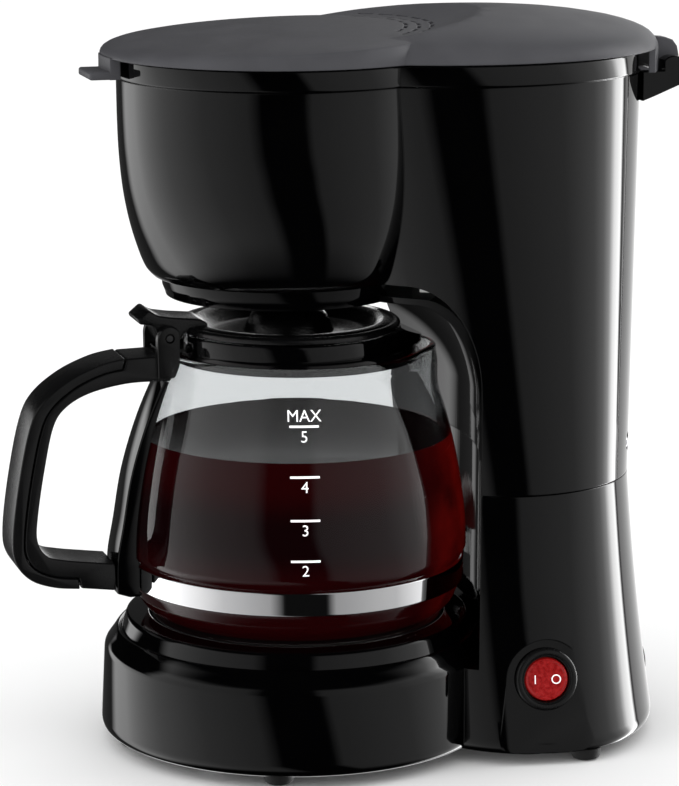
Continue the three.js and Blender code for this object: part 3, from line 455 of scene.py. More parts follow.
DARK_PIN = surface("blackened_steel", (0.01, 0.01, 0.011), (0.02, 0.02, 0.021), (0.3, 0.4), grain=300.0,
    edge=0.2)
LINER = surface("liner_black", (0.0003, 0.0003, 0.0004), (0.0006, 0.0006, 0.0007), (0.03, 0.05),
    bump=(90.0, 0.004),
                edge=0.5, IOR=1.36)
STEEL = surface("plain_steel", (0.5, 0.5, 0.52), (0.62, 0.62, 0.64), (0.2, 0.34), grain=400.0, edge=0.2,
    Metallic=1.0)
CHROME = surface("polished_band", (0.96, 0.96, 0.98), (0.99, 0.99, 1.0), (0.015, 0.03), grain=120.0,
    edge=0.3,
                 Metallic=1.0)
ALUMINIUM = surface("cast_aluminium", (0.55, 0.56, 0.57), (0.68, 0.69, 0.7), (0.35, 0.5), grain=200.0,
                    bump=(700.0, 0.1), edge=0.4, Metallic=1.0)
PLATE = surface("plate_coating", (0.003, 0.003, 0.0032), (0.005, 0.005, 0.0053), (0.16, 0.26),
    bump=(1400.0, 0.05), edge=0.4)
SILICONE = surface("silicone", (0.55, 0.55, 0.5), (0.7, 0.7, 0.66), (0.35, 0.5), Subsurface_Weight=0.2)
TANK = surface("tank_plastic", (0.5, 0.51, 0.5), (0.6, 0.61, 0.6), (0.3, 0.45), bump=(500.0, 0.05),
    edge=0.4)
INK = surface("white_print", (0.82, 0.82, 0.82), (0.9, 0.9, 0.9), (0.4, 0.5), grain=800.0)
# the print gets a painted glow by emission, so the white marks stay bright
INK.node_tree.nodes["Principled BSDF"].inputs["Emission Color"].default_value = (0.9, 0.9, 0.92, 1)
INK.node_tree.nodes["Principled BSDF"].inputs["Emission Strength"].default_value = 0.45
GLASS = glass_material()
COFFEE = coffee_material()
ROCKER = rocker_material()
MESH = mesh_material()


# ------------------------------------------------------------------ the housing's plan
FLOOR_OVAL = (66.7, 51.9, 77.5)      # half-width, half-depth and centre of the tower at the floor
SEAM_OVAL = (52.3, 48.2, 72.1)
RIM_OVAL = (58.5, 66.0, 57.0)
BASE_Z, SEAM_Z, COLLAR_Z, RIM_Z = 4.0, 93.0, 235.0, 242.5
RING_Z, CEILING_Z, SKIN_EDGE_Z = 45.5, 159.6, 166.0
WALL_JOINT_Z = 105.2
FLARE, WALL, GAP = 0.4, 2.4, 0.35
BOWL_Y, BAY_Y, BAY_R, DRIP_Y = -5.0, -68.0, 130.0, -2.6
LID_PIN = (130.5, 234.5)
JUG_PIN = (-47.7, 146.9)


def oval_at(z):
    low = z < SEAM_Z
    start, end = (FLOOR_OVAL, SEAM_OVAL) if low else (SEAM_OVAL, RIM_OVAL)
    if low:
        t = max(0.0, (z - BASE_Z) / (SEAM_Z - BASE_Z))
        t += FLARE * t * (1 - t)
    else:
        t = min(1.0, (z - SEAM_Z) / (COLLAR_Z - SEAM_Z))
    return [a + (b - a) * t for a, b in zip(start, end)]


def oval(profile, fixed=None, seg=SEG):
    """A solid with the tower's plan: rows are (offset, z), and an offset of None is on the axis."""
    rows = soften([(0 if row[0] is None else row[0] + 1000, *row[1:]) for row in profile])

    def point(row, c, s):
        a, b, y = fixed or oval_at(row[1])
        if row[0] == 0:
            return (0, y, row[1])
        grow = row[0] - 1000
        return ((a + grow) * c, y + (b + grow) * s, row[1])
    return lathe(rows, point, seg)


def levels(z0, z1, step=7.0):
    count = max(1, round((z1 - z0) / step))
    return [z0 + (z1 - z0) * i / count for i in range(count + 1)]


def oval_block(offset, z0, z1, fixed=None):
    zs = levels(z0, z1)
    return oval([(None, zs[0])] + [(offset, z) for z in zs] + [(None, zs[-1])], fixed)


BOWL_CURVE = smooth_curve([
    (44.2, SKIN_EDGE_Z), (47.4, 169.5), (50.2, 176.5), (52.8, 185.5), (54.8, 196), (56, 208), (56.5, 220),
    (56.7, COLLAR_Z)], 5)


def bowl(offset, start=None, end=None):
    rows = [(r + offset, z) for r, z in BOWL_CURVE]
    if start:
        rows[0] = start
    if end:
        rows[-1] = end
    return turned([(0, rows[0][1])] + rows + [(0, rows[-1][1])], y=BOWL_Y)


def bay(radius, floor, ceiling, fillet_r, fillet_z):
    arc = []
    for i in range(25):
        t = i / 24 * math.pi / 2
        arc.append((radius - fillet_r * (1 - math.cos(t)), ceiling - fillet_z * (1 - math.sin(t))))
    return turned([(0, floor), (radius, floor)] + arc + [(0, ceiling)], y=BAY_Y, seg=360)


# ------------------------------------------------------------------ switch frame
SWITCH_MATRIX = (Matrix.Translation((59.05, 73.1, 29.7)) @ Matrix.Rotation(-7 * RAD, 4, "Z")
                 @ Matrix.Rotation(-8.5 * RAD, 4, "Y"))
PANEL_HALF, PANEL_FOOT = 13.8, 19.0


def switch_panel(x0, x1, grow, round_edge=0.0):
    outline = [(-PANEL_FOOT - grow, -40)]
    for i in range(41):
        angle = math.pi - math.pi * i / 40
        outline.append(((PANEL_HALF + grow) * math.cos(angle), (PANEL_HALF + grow) * math.sin(angle)))
    outline.append((PANEL_FOOT + grow, -40))
    return move(prism(outline, x0, x1, round_edge), SWITCH_MATRIX)


def local_x(profile, seg=96):
    """Lathed about the switch's own X axis: rows are (radius, x)."""
    return move(turned([(r, x) if not rest else (r, x, *rest) for r, x, *rest in profile], seg=seg),
                SWITCH_MATRIX @ Matrix.Rotation(math.pi / 2, 4, "Y"))


# ------------------------------------------------------------------ lower housing
def base_housing():
    drum = turned([
        (0, BASE_Z), (65.9, BASE_Z), (67.3, 4.25), (68.4, 4.9), (69.15, 6), (69.42, 7.3), (69.45,
            8.6), (68.2, 32.6),
        (68.0, 33.8), (67.5, 34.9), (66.6, 36.1), (65.1, 38.2), (64.2, 39.6), (63.7, 40.15), (63.1, 40.3),
        (62.75, 40.1), (62.45, 39.75), (62.1, 39.8), (61.75, 40.5), (60.6, 44.2), (60.25, 45), (59.7, 45.4),
        (59.1, RING_Z), (0, RING_Z)])
    tower = oval([(None, BASE_Z), (-3, BASE_Z), (-1.6, 4.4), (-0.5, 5.6), (-0.05, 7.2)]
                 + [(0, z) for z in levels(9, SEAM_Z)] + [(None, SEAM_Z)])
    jug_space = bay(BAY_R, 33, 200, 0.5, 0.5)
    behind_wall = bay(BAY_R + WALL, 33 - WALL, 200, 0.5, 0.5)
    wall = cut(common(oval_block(-2.9, 60, WALL_JOINT_Z), copy_of(behind_wall)), copy_of(jug_space))
    drum_hollow = turned([(0, 3), (65.6, 3), (65.6, 6.6), (66.9, 8.6), (65.6, 33), (61.4, 38),
        (59, RING_Z - WALL),
                          (0, RING_Z - WALL)])
    tower_hollow = oval([(None, 3), (-3.8, 3), (-3.8, 6.6)] + [(-WALL, z) for z in levels(8.6, SEAM_Z)]
                        + [(-WALL, SEAM_Z + 1), (None, SEAM_Z + 1)])
    pad = common(switch_panel(-WALL, 20, 2), block((0, 90), (0, 140), (7.2, 90)))
    cut(tower_hollow, behind_wall, pad)
    body = join(drum, cut(tower, jug_space))
    cut(body, switch_panel(0, 20, 0), drum_hollow, tower_hollow, block((-28, 28), (44, 72), (10, 35)),
        disc(52.4, 40, 50), local_x([(0, -6), (9.5, -6), (9.5, 6), (0, 6)]),
        along_y(turned([(0, 120), (6.4, 120), (6.4, 140), (0, 140)], seg=48), 0, 16))
    join(body, wall)
    place(body, "base_shell", "housing", GLOSS, ["base_housing"])


def warming_plate():
    plate = turned([(0, RING_Z - 1.4), (49.6, RING_Z - 1.4), (49.6, 40.4), (51.4, 40.4),
        (51.4, RING_Z, 0.8),
                    (49.5, RING_Z), (48.6, RING_Z - 0.35), (47.6, RING_Z - 0.35), (46.7, RING_Z), (30.6,
                        RING_Z),
                    (30, RING_Z - 0.3), (29.4, RING_Z - 0.3), (28.8, RING_Z), (0, RING_Z)])
    place(plate, "heated_plate", "housing", PLATE, ["warming_plate"])


def small_base_parts():
    for i, (x, y) in enumerate([(0, -59.5), (55.5, -21.5), (-55.5, -21.5), (58, 88.5), (-58, 88.5)], 1):
        sole = turned([(0, 0.5), (2.6, 0.5), (3, 0), (4.6, 0, 0.6), (5.05, 1.2), (5.4, BASE_Z - 0.02),
            (0, BASE_Z - 0.02)],
                      x, y, 48)
        place(sole, "foot_pad_%d" % i, "housing", RUBBER, ["foot_%d" % i])
    inlet = turned([(3.6, 120), (7.4, 120), (7.4, 122.4), (6, 122.4), (6, 128.9), (7.6, 128.9),
        (7.6, 130, 0.6), (3.6, 130, 0.5)],
                   seg=64)
    place(along_y(inlet, 0, 16), "cord_grommet", "housing", INNER, ["cord_inlet"])
    for side, name in ((-1, "left"), (1, "right")):
        head = turned([(0, 104), (1.4, 104), (1.4, 112.6), (2.9, 112.6), (2.9, 113.9, 0.6),
            (1.8, 114.6), (0, 114.6)],
                      seg=40)
        along_y(head, side * 24, 104)
        slots = [block((side * 24 - 1.8, side * 24 + 1.8), (113.6, 116), (103.7, 104.3)),
                 block((side * 24 - 0.3, side * 24 + 0.3), (113.6, 116), (102.2, 105.8))]
        place(cut(head, *slots), "cover_fixing_" + name, "housing", STEEL, ["cover_screw_" + name])


# ------------------------------------------------------------------ switch
def switch():
    bezel = local_x([(8, 2.2), (8, -9.6), (0, -9.6), (0, -12.5), (9, -12.5), (9, 0.3), (10.9, 0.3),
        (10.9, 1.5, 0.5),
                     (10.2, 2.2, 0.6), (8.8, 2.2, 0.4), (8.4, 1.6, 0.3)][::-1], 96)
    blades = [move(block((-19, -12), ys, (-2.4, 2.4)), SWITCH_MATRIX) for ys in ((-5.6, -4.8), (4.8, 5.6))]
    place(join(bezel, *blades), "switch_bezel", "housing", INNER, ["switch_body"])

    face = turned([(0, -6.5), (5, -6.5), (6.8, -3.5), (7.5, -0.8), (7.5, 1.0, 0.5), (7.0, 1.8, 0.4),
        (6.4, 1.4, 0.4), (0, 1.35)], seg=96)
    press = SWITCH_MATRIX @ Matrix.Rotation(-7 * RAD, 4, "Z")
    move(face, press @ Matrix.Rotation(math.pi / 2, 4, "Y"))
    place(face, "rocker_cap", "rocker", ROCKER, ["switch_rocker"])

    bar = block((1.2, 1.5), (-3.95, -3.6), (-1.5, 1.5))
    place(move(bar, press), "rocker_mark_on", "rocker", INK)
    loop = turned([(1.25, 1.2), (1.65, 1.2), (1.65, 1.5), (1.25, 1.5)], seg=48)
    move(loop, press @ Matrix.Translation((0, 3.5, 0)) @ Matrix.Rotation(math.pi / 2, 4, "Y"))
    place(loop, "rocker_mark_off", "rocker", INK)


# ------------------------------------------------------------------ upper housing
COVER_X, NOTCH_X, BAND_PROUD = 36.8, 31.0, 0.9


def upper_housing():
    skin = join(bowl(0), oval_block(0, SEAM_Z + GAP, COLLAR_Z))
    band = join(
        turned([(0, COLLAR_Z), (56.7, COLLAR_Z), (57.6, COLLAR_Z + 0.5, 0.4), (57.6, RIM_Z, 0.8),
            (0, RIM_Z)], y=BOWL_Y),
        oval([(None, COLLAR_Z), (0, COLLAR_Z), (BAND_PROUD, COLLAR_Z + 0.5, 0.4),
            (BAND_PROUD, RIM_Z, 0.8), (None, RIM_Z)], RIM_OVAL))
    body = join(skin, band)
    hollow_bowl = bowl(-WALL, start=(43, SKIN_EDGE_Z - 1), end=(56.7 - WALL, RIM_Z + 1))
    hollow_tower = oval_block(-WALL, SEAM_Z - 1, RIM_Z + 1)
    cut(body, hollow_bowl, hollow_tower, bay(BAY_R, 80, SKIN_EDGE_Z + 0.6, 25, 36),
        block((-COVER_X, COVER_X), (90, 140), (80, COLLAR_Z)),
        block((-NOTCH_X, NOTCH_X), (90, 140), (COLLAR_Z - 1, RIM_Z + 1)))
    place(body, "upper_shell", "housing", GLOSS, ["upper_housing"])


def bay_liner():
    inset = -WALL - 0.5
    radius = BAY_R - 1
    pan_outline = [(0, CEILING_Z), (39.4, CEILING_Z, 1.2), (41.0, 161.4), (41.6, 163), (42.0, 168),
        (0, 168)]
    body = join(turned([(0, 140), (40.4, 140), (40.4, CEILING_Z), (41.4, 163), (41.9, 168), (0, 168)],
        y=BOWL_Y),
                oval_block(inset, WALL_JOINT_Z + 0.3, 168))
    sheet = cut(bay(radius + WALL, 80, CEILING_Z + WALL, 22, 34.6), bay(radius, 80, CEILING_Z, 22, 34.6))
    pan = cut(turned(pan_outline, y=BOWL_Y), disc(39.4, CEILING_Z + 1, 169, y=BOWL_Y),
        oval_block(inset, 155, 170))
    liner = join(common(body, sheet), pan)
    place(cut(liner, disc(10.4, 150, 170, y=DRIP_Y)), "bay_lining", "housing", LINER,
        ["bay_liner"])


def rod_x(radius, y, z, x0, x1, seg=64, rounding=0.4):
    return along_x(turned([(0, x0), (radius, x0, rounding), (radius, x1, rounding), (0, x1)], seg=seg),
        y, z)


def back_cover():
    cover = common(cut(oval_block(0, SEAM_Z + GAP, COLLAR_Z - GAP),
        oval_block(-WALL, SEAM_Z - 1, COLLAR_Z)),
                   block((-COVER_X + GAP, COVER_X - GAP), (90, 140), (80, COLLAR_Z)))
    y, z = LID_PIN
    lugs = []
    for x0, x1 in ((-23, -17), (17, 23)):
        outline = [(119, 224.4), (123.4, 226), (132.45, 229.6), (y + 3.7, z - 3.7), (y + 3, z), (119, z)]
        lug = join(prism(outline, x0, x1), rod_x(5.3, y, z, x0, x1, rounding=0.6))
        cut(lug, oval_block(-WALL, 200, COLLAR_Z + 5), block((-40, 40), (100, 127), (z, 250)))
        lugs.append(lug)
    join(cover, *lugs)
    holes = [along_y(turned([(0, 100), (3.3, 100), (3.3, 140), (0, 140)], seg=40), side * 24,
        104) for side in (-1, 1)]
    cut(cover, block((-6, 6), (110, 140), (205, 207.4)), rod_x(1.85, y, z, -21.8, 21.8, 32), *holes)
    place(cover, "rear_cover", "housing", GLOSS, ["back_cover"])
    place(rod_x(1.5, y, z, -21.4, 21.4, 32), "hinge_rod", "housing", DARK_PIN, ["lid_hinge_pin"])


# ------------------------------------------------------------------ lid
LID_OVAL = (61.0, 72.0, 57.5)
LID_FRONT = (61.0, -6.2)
LID_LOW = 242.85
LID_LEAN = 0.042         # rise per mm towards the rear of the front half's top
VENT_RADII, VENT_LENGTH, VENT_PITCH, VENT_SPAN, VENT_WIDTH = (44, 48.5, 53), 6.4, 9.0, 46.0, 1.3


def lean(obj):
    """Leans the top of a front-half solid, leaving its lower edge level."""
    for vert in obj.data.vertices:
        share = min(1, max(0, (vert.co.z - 243.6) / 2))
        vert.co.z += LID_LEAN * (vert.co.y + 67) * share
    return obj


def ramp(drop):
    """Space over the front half and the gentle ramp that rises from it to the rear half."""
    return lean(turned([(0, 232), (50, 232), (50, 247.2 - drop), (53.5, 247.5 - drop, 2),
        (72, 251.6 - drop, 8),
                        (100, 258 - drop), (100, 275), (0, 275)], y=LID_FRONT[1]))


def vent_slots():
    slots = []
    for radius in VENT_RADII:
        step = VENT_PITCH / radius / RAD
        count = int(VENT_SPAN / step)
        for i in range(-count, count + 1):
            angle = (90 + i * step) * RAD
            slot = block((-VENT_LENGTH / 2, VENT_LENGTH / 2), (-VENT_WIDTH / 2, VENT_WIDTH / 2), (-10, 10))
            centre = (radius * math.cos(angle), LID_FRONT[1] + radius * math.sin(angle), 254)
            slots.append(move(slot, Matrix.Translation(centre) @ Matrix.Rotation(angle + math.pi / 2, 4,
                "Z")))
    return slots


def machine_lid():
    radius, centre = LID_FRONT
    front = lean(turned([
        (0, LID_LOW), (radius, LID_LOW, 0.5), (60.95, 243.6), (60.7, 244.3), (60, 245.1), (58.9,
            245.7), (57.2, 246.25),
        (54, 246.75), (50, 247.2), (43, 247.7), (36, 248.1), (27, 248.45), (18, 248.7), (9, 248.85), (0,
            248.9)], y=centre))
    rear = oval([
        (None, LID_LOW), (0, LID_LOW, 0.5), (-0.1, 243.9), (-0.35, 244.7), (-0.9, 245.7), (-1.8,
            246.8), (-3, 248),
        (-4.8, 249.15), (-7.4, 250.3), (-11, 251.5), (-15.3, 252.6), (-20, 253.5), (-26, 254.5), (-33,
            255.4),
        (-42, 256.3), (-51, 256.8), (None, 257.1)], LID_OVAL)
    cut(rear, ramp(0))
    rear_hollow = oval([(None, 240), (-2, 240), (-2.7, 244.4), (-6.4, 247.2), (-13, 249.7),
        (-22, 251.6), (-35, 253.4),
                        (None, 255.2)], LID_OVAL)
    hollow = join(
        lean(turned([(0, 240), (59, 240), (58.4, 243.6), (56.4, 244.4), (50, 245.2), (36, 246.1),
            (18, 246.7),
                     (0, 246.9)], y=centre)),
        cut(rear_hollow, ramp(2.2)))
    lid = cut(join(front, rear), hollow)
    skirt = common(cut(oval_block(0, LID_PIN[1] + 0.3, LID_LOW + 1, LID_OVAL),
        oval_block(-2, 230, LID_LOW + 2, LID_OVAL)),
                   block((-28.5, 28.5), (110, 140), (220, 250)))
    tab = cut(prism([(-74, 236), (-60, 236), (-60, 238.8), (-74, 238.8)], -9.6, 9.6, 0.9),
        disc(59.2, 230, 240, y=BOWL_Y))
    root = common(cut(block((-9.6, 9.6), (-69, -62), (236, 243.4)), disc(59.2, 230, 250, y=BOWL_Y)),
                  disc(61.5, 235, 246, y=centre))
    y, z = LID_PIN
    arms = []
    for x0, x1 in ((-16.6, -10.6), (10.6, 16.6)):
        outline = [(128.2, 234.6), (y + 4.6, 235.6), (134.6, 239.5), (133.9, 242.6), (132.3, 244.7),
            (129.6, 245.7),
                   (126, 246), (126, 240)]
        arms += [rod_x(4.9, y, z, x0, x1), prism(outline, x0, x1, 0.5)]
    join(lid, skirt, tab, root, *arms)
    clear = [rod_x(5.7, y, z, x0, x1) for x0, x1 in ((-23.5, -16.6), (16.6, 23.5))]
    cut(lid, rod_x(1.85, y, z, -30, 30, 32), *clear, *vent_slots())
    place(lid, "lid_shell", "lid", SATIN, ["machine_lid"], sharp=24)


# ------------------------------------------------------------------ jug
BODY_CURVE = smooth_curve([(59.9, 69.6), (59.6, 79), (58.2, 91), (56, 103.5), (52.4, 118),
    (48.2, 130.5), (46, 135.4)], 6)
JUG_OUTER = ([(45, 45.8), (51, 47, 3), (55.4, 50.6, 4), (58.1, 57.6, 1.2), (58.1, 66.4, 1.5)] + BODY_CURVE
             + [(45.35, 137.4), (45.3, 139.2, 0.6), (44.2, 140, 0.8)])
SPOUT = (5.0, 34.0, 124.0, 138.0)    # reach, half-angle in degrees, and the heights it starts and ends at


def draw_spout(obj):
    """Draws the rim out into the pouring spout."""
    reach, half_angle, start, tip = SPOUT
    for vert in obj.data.vertices:
        off = abs(math.atan2(vert.co.x, vert.co.y)) / RAD / half_angle
        rise = min(1, max(0, (vert.co.z - start) / (tip - start)))
        if off < 1 and rise > 0:
            push = reach * (math.cos(off * math.pi) + 1) / 2 * rise * rise * (3 - 2 * rise)
            stretch = 1 + push / math.hypot(vert.co.x, vert.co.y)
            vert.co.x *= stretch
            vert.co.y *= stretch
    return obj


BAND = (58.0, 66.0, 58.45, 59.1)     # low, high, inner and outer radius of the steel band


def inner_radius(z):
    """Radius of the glass's inner surface between the band and the neck."""
    for (r0, z0), (r1, z1) in zip(BODY_CURVE, BODY_CURVE[1:]):
        if z0 <= z <= z1:
            return r0 + (r1 - r0) * (z - z0) / (z1 - z0) - 2.05
    return 57.8


def outer_radius(z):
    return inner_radius(z) + 2.05


def glass_jug():
    inner = [(r - 2.05, z) for r, z in reversed(BODY_CURVE)]
    profile = ([(0, 45.8)] + JUG_OUTER + [(43.1, 140, 0.8), (43.3, 138, 1)] + inner
               + [(56.1, 66.6, 1.5), (56.1, 57.4, 3), (53.6, 51.8, 3), (50, 49, 3), (44.4, 47.8, 2),
                   (0, 47.8)])
    place(draw_spout(turned(profile)), "jug_glass_body", "jug", GLASS, ["glass_jug"], sharp=60)

    low, high, inside, outside = BAND
    band = turned([(inside, low), (outside, low, 0.3), (outside, low + 0.5), (outside, high - 0.5),
                   (outside, high, 0.3), (inside, high)])
    place(band, "polished_hoop", "jug", CHROME, ["steel_band"])


COFFEE_Z = 109.0


def coffee():
    sink = 0.35          # the liquid reaches this far into the glass, so no air shows between them
    side = [(inner_radius(z) + sink, z) for z in levels(70, COFFEE_Z - 1.0, 3)]
    top = inner_radius(COFFEE_Z)
    profile = ([(0, 47.6), (44.4, 47.6), (50.2, 48.8, 3), (53.9, 51.6, 3), (56.4, 57.4, 3),
        (56.4, 66.6, 1.5)] + side
               + [(top + sink, COFFEE_Z + 0.7), (top - 0.5, COFFEE_Z + 0.3), (top - 1.6, COFFEE_Z),
                   (0, COFFEE_Z)])
    place(turned(profile), "coffee_fill", "jug", COFFEE, sharp=60)


def grown_jug(grow):
    rows = [(60, 50)] + [(p[0] + grow, p[1]) for p in JUG_OUTER if p[1] > 55]
    return turned([(0, 40), (60, 40)] + rows + [(44.8 + grow, 160), (0, 160)])


COLLAR_Y, COLLAR_OUTER, COLLAR_INNER, COLLAR_LOW, COLLAR_TOP = -2.6, 39.4, 36.6, 140.4, 147.0


def jug_collar():
    hoop = turned([(0, COLLAR_LOW), (COLLAR_OUTER, COLLAR_LOW, 0.5), (COLLAR_OUTER, COLLAR_TOP, 0.8),
        (0, COLLAR_TOP)],
                  y=COLLAR_Y)
    skirt = turned([(0, 137), (42.3, 137), (42.3, 140.1), (41.6, 141.4, 0.5), (0, 141.4)])
    half = smooth_curve([(-22, 28), (-17.5, 34.6), (-11, 41), (-5, 44.4), (0, 45.6)], 6)
    outline = half + [(-x, y) for x, y in reversed(half[:-1])]
    count = len(outline)
    verts = [(x, y, COLLAR_LOW) for x, y in outline] + [(x, y, COLLAR_TOP) for x, y in outline]
    faces = [list(range(count)), list(range(2 * count - 1, count - 1, -1))]
    faces += [[i, i + count, (i + 1) % count + count, (i + 1) % count] for i in range(count)]
    tongue = cut(raw_object(verts, faces),
                 prism([(30, 148.6), (36, 146.2), (48, 141.2), (60, 141.2), (60, 150), (30, 150)], -30, 30))
    collar = join(hoop, skirt, tongue, block((-8, 8), (-51, -40.3), (140.95, 142.5)))
    cut(collar, disc(COLLAR_INNER, 130, 150, y=COLLAR_Y), block((-8.7, 8.7), (-60, -33), (142.6, 150)),
        block((-6, 6), (31, 60), (130, 142.1)))
    place(collar, "neck_collar", "jug", GLOSS, ["jug_collar"])


def jug_lid():
    dish = turned([(0, 143.8), (27.4, 143.8), (30, 147.5), (39, 147.5, 0.4), (39, 149.0, 0.5),
        (37.9, 149.9, 0.4),
                   (36.6, 149.7), (36, 150.1), (33.2, 150.3, 0.6), (31.2, 149.4, 0.8), (26.6, 145.7,
                       1.2), (0, 145.7)],
                  y=COLLAR_Y)
    dome = turned([(0, 144), (16.4, 145.6), (15.3, 146.2, 1), (14.6, 148.6), (13.4, 151.2),
        (12, 153, 1.5), (9.4, 154.4, 1.5), (5, 155),
                   (0, 155)], y=DRIP_Y)
    lever = prism(soften([
        (-33.5, 147.7), (-41.6, 147.7), (-44.2, 144.6, 1.5), (-47.4, 143.2, 2), (-50.6, 144.8,
            1.5), (-51.4, 147.4, 1),
        (-52.8, 151.2, 1.5), (-57.4, 151.6, 1), (-58.2, 153.2, 0.8), (-54.2, 156.6, 1.2), (-51, 154.4,
            1.5), (-45, 153.4, 2),
        (-36, 152.6, 1), (-33.5, 151)]), -8, 8, 0.7)
    hollow = turned([(0, 140), (13.4, 140), (12.8, 147.4), (11, 150.8), (8, 152.6), (4.6, 153.2),
        (0, 153.2)], y=DRIP_Y)
    lid = cut(join(dish, dome, lever), hollow, disc(2, 150, 158, y=DRIP_Y + 8, seg=40),
        rod_x(1.65, *JUG_PIN, -20, 20, 32))
    place(lid, "jug_cap", "jug_lid", STIPPLE, ["jug_lid"])
    place(rod_x(1.3, *JUG_PIN, -11.4, 11.4, 32), "jug_pivot", "jug", DARK_PIN, ["jug_hinge_pin"])


GRIP_OUTER = smooth_curve([
    (-63, 140.5), (-72, 138.7), (-83, 133.9), (-92.4, 126.4), (-97, 117), (-101, 98), (-103.3,
        80), (-102.4, 71),
    (-97.2, 64.6), (-89, 61.4), (-80, 60.3)], 6)
GRIP_SEAM = smooth_curve([
    (-64, 136.6), (-71.5, 135.2), (-81, 131), (-89, 124.3), (-93, 116), (-96.9, 97.6), (-99.2,
        80), (-98.6, 72.6),
    (-94.8, 67.6), (-88, 64.9), (-80.6, 64)], 6)
HANDLE_INNER = smooth_curve([
    (-52, 131.8), (-63, 131.5), (-75.5, 128.9), (-83.8, 124.4), (-88.2, 118), (-91.4, 104), (-94,
        88), (-94.5, 78.5),
    (-91.3, 72.8), (-85, 70.9), (-75, 69.4), (-67.4, 68.4)], 6)


def handle():
    outline = ([(-46, 140.6), (-50, 140.6), (-62.6, 140.3)] + [(y + GAP, z) for y, z in GRIP_SEAM]
               + [(-79.6, 60.4), (-67.4, 58.8)] + HANDLE_INNER[::-1] + [(-47, 131.6)])
    core = prism(outline, -9.6, 9.6, 1.6)
    ear = prism(soften([(-52, 133), (-52.2, 147, 1.5), (-50.6, 150.2, 1.5), (-47.7, 151.4, 1.5),
        (-44.8, 150.2, 1.5),
                        (-43.4, 146.9, 1.5), (-44, 138), (-46, 133)]), -11.6, 11.6, 0.6)
    cut(ear, block((-8.4, 8.4), (-60, -40), (140.6, 160)))
    cut(join(core, ear), grown_jug(GAP), disc(45.8, 130, 160), rod_x(1.65, *JUG_PIN, -20, 20, 32))
    place(core, "handle_frame", "jug", GRIP, ["jug_handle"])
    grip = prism(GRIP_OUTER + GRIP_SEAM[::-1], -10, 10, 1.9)
    place(grip, "handle_overmould", "jug", GRIP, ["handle_grip"])

    strap = prism([(-40, 140)] + smooth_curve([(-46.2, 136), (-51.2, 127), (-56.6, 114), (-61.4, 98),
        (-64.4, 81),
                                               (-66.6, 68.5), (-66.8, 57.2)], 6)
                  + [(-62, 55.6), (-50, 56), (-38, 120)], -8.6, 8.6, 0.8)
    cut(strap, grown_jug(GAP), disc(BAND[3] + GAP, BAND[0] - 1, BAND[1] + 1), disc(45.8, 136.4, 160),
        block((-10, 10), (-60, -44), (131.2, 145)))
    place(strap, "handle_saddle", "jug", GLOSS, ["handle_strap"])


# ------------------------------------------------------------------ gauge on the glass
MARK_ANGLE = -12.2
MARKS = [("5", 122.0), ("4", 105.5), ("3", 91.1), ("2", 77.4)]
LINE_HALF, LINE_THICK, DIGIT_SIZE = 5.0, 0.38, 5.3


def on_glass(obj, angle, mirrored=False):
    """Bends a flat shape, drawn with x across and y up, round the glass and thickens it a little."""
    for vert in obj.data.vertices:
        across, up = vert.co.x, vert.co.y
        radius = outer_radius(up) + 0.06 + (0.05 if vert.co.z > 0.5 else 0)
        turn = angle * RAD + across / radius
        vert.co = (radius * math.cos(turn), radius * math.sin(turn), up)
    return obj


def flat_text(text, size, x, y):
    curve = bpy.data.curves.new("text", "FONT")
    curve.body = text
    curve.size = size
    curve.align_x = "CENTER"
    curve.resolution_u = 4
    holder = bpy.data.objects.new("text", curve)
    bpy.context.scene.collection.objects.link(holder)
    depsgraph = bpy.context.evaluated_depsgraph_get()
    mesh = bpy.data.meshes.new_from_object(holder.evaluated_get(depsgraph))
    bpy.data.objects.remove(holder)
    obj = bpy.data.objects.new("text", mesh)
    bpy.context.scene.collection.objects.link(obj)
    mesh.transform(Matrix.Translation((x, y, 0)))
    return obj


def line_sheet(x0, x1, y0, y1, steps=16):
    verts = []
    for i in range(steps + 1):
        x = x0 + (x1 - x0) * i / steps
        verts += [(x, y0, 0), (x, y1, 0)]
    faces = [(2 * i, 2 * i + 2, 2 * i + 3, 2 * i + 1) for i in range(steps)]
    mesh = bpy.data.meshes.new("line")
    mesh.from_pydata(verts, [], faces)
    obj = bpy.data.objects.new("line", mesh)
    bpy.context.scene.collection.objects.link(obj)
    return obj


def gauge():
    for digit, z in MARKS:
        line = on_glass(line_sheet(-LINE_HALF, LINE_HALF, z - LINE_THICK, z + LINE_THICK), MARK_ANGLE)
        place(line, "gauge_line_" + digit, "jug", INK)
        text = on_glass(flat_text(digit, DIGIT_SIZE, 0, z - LINE_THICK - 4.7), MARK_ANGLE)
        place(text, "gauge_digit_" + digit, "jug", INK)
    text = on_glass(flat_text("MAX", 5.5, 0, MARKS[0][1] + 1.6), MARK_ANGLE)
    place(text, "gauge_max", "jug", INK)


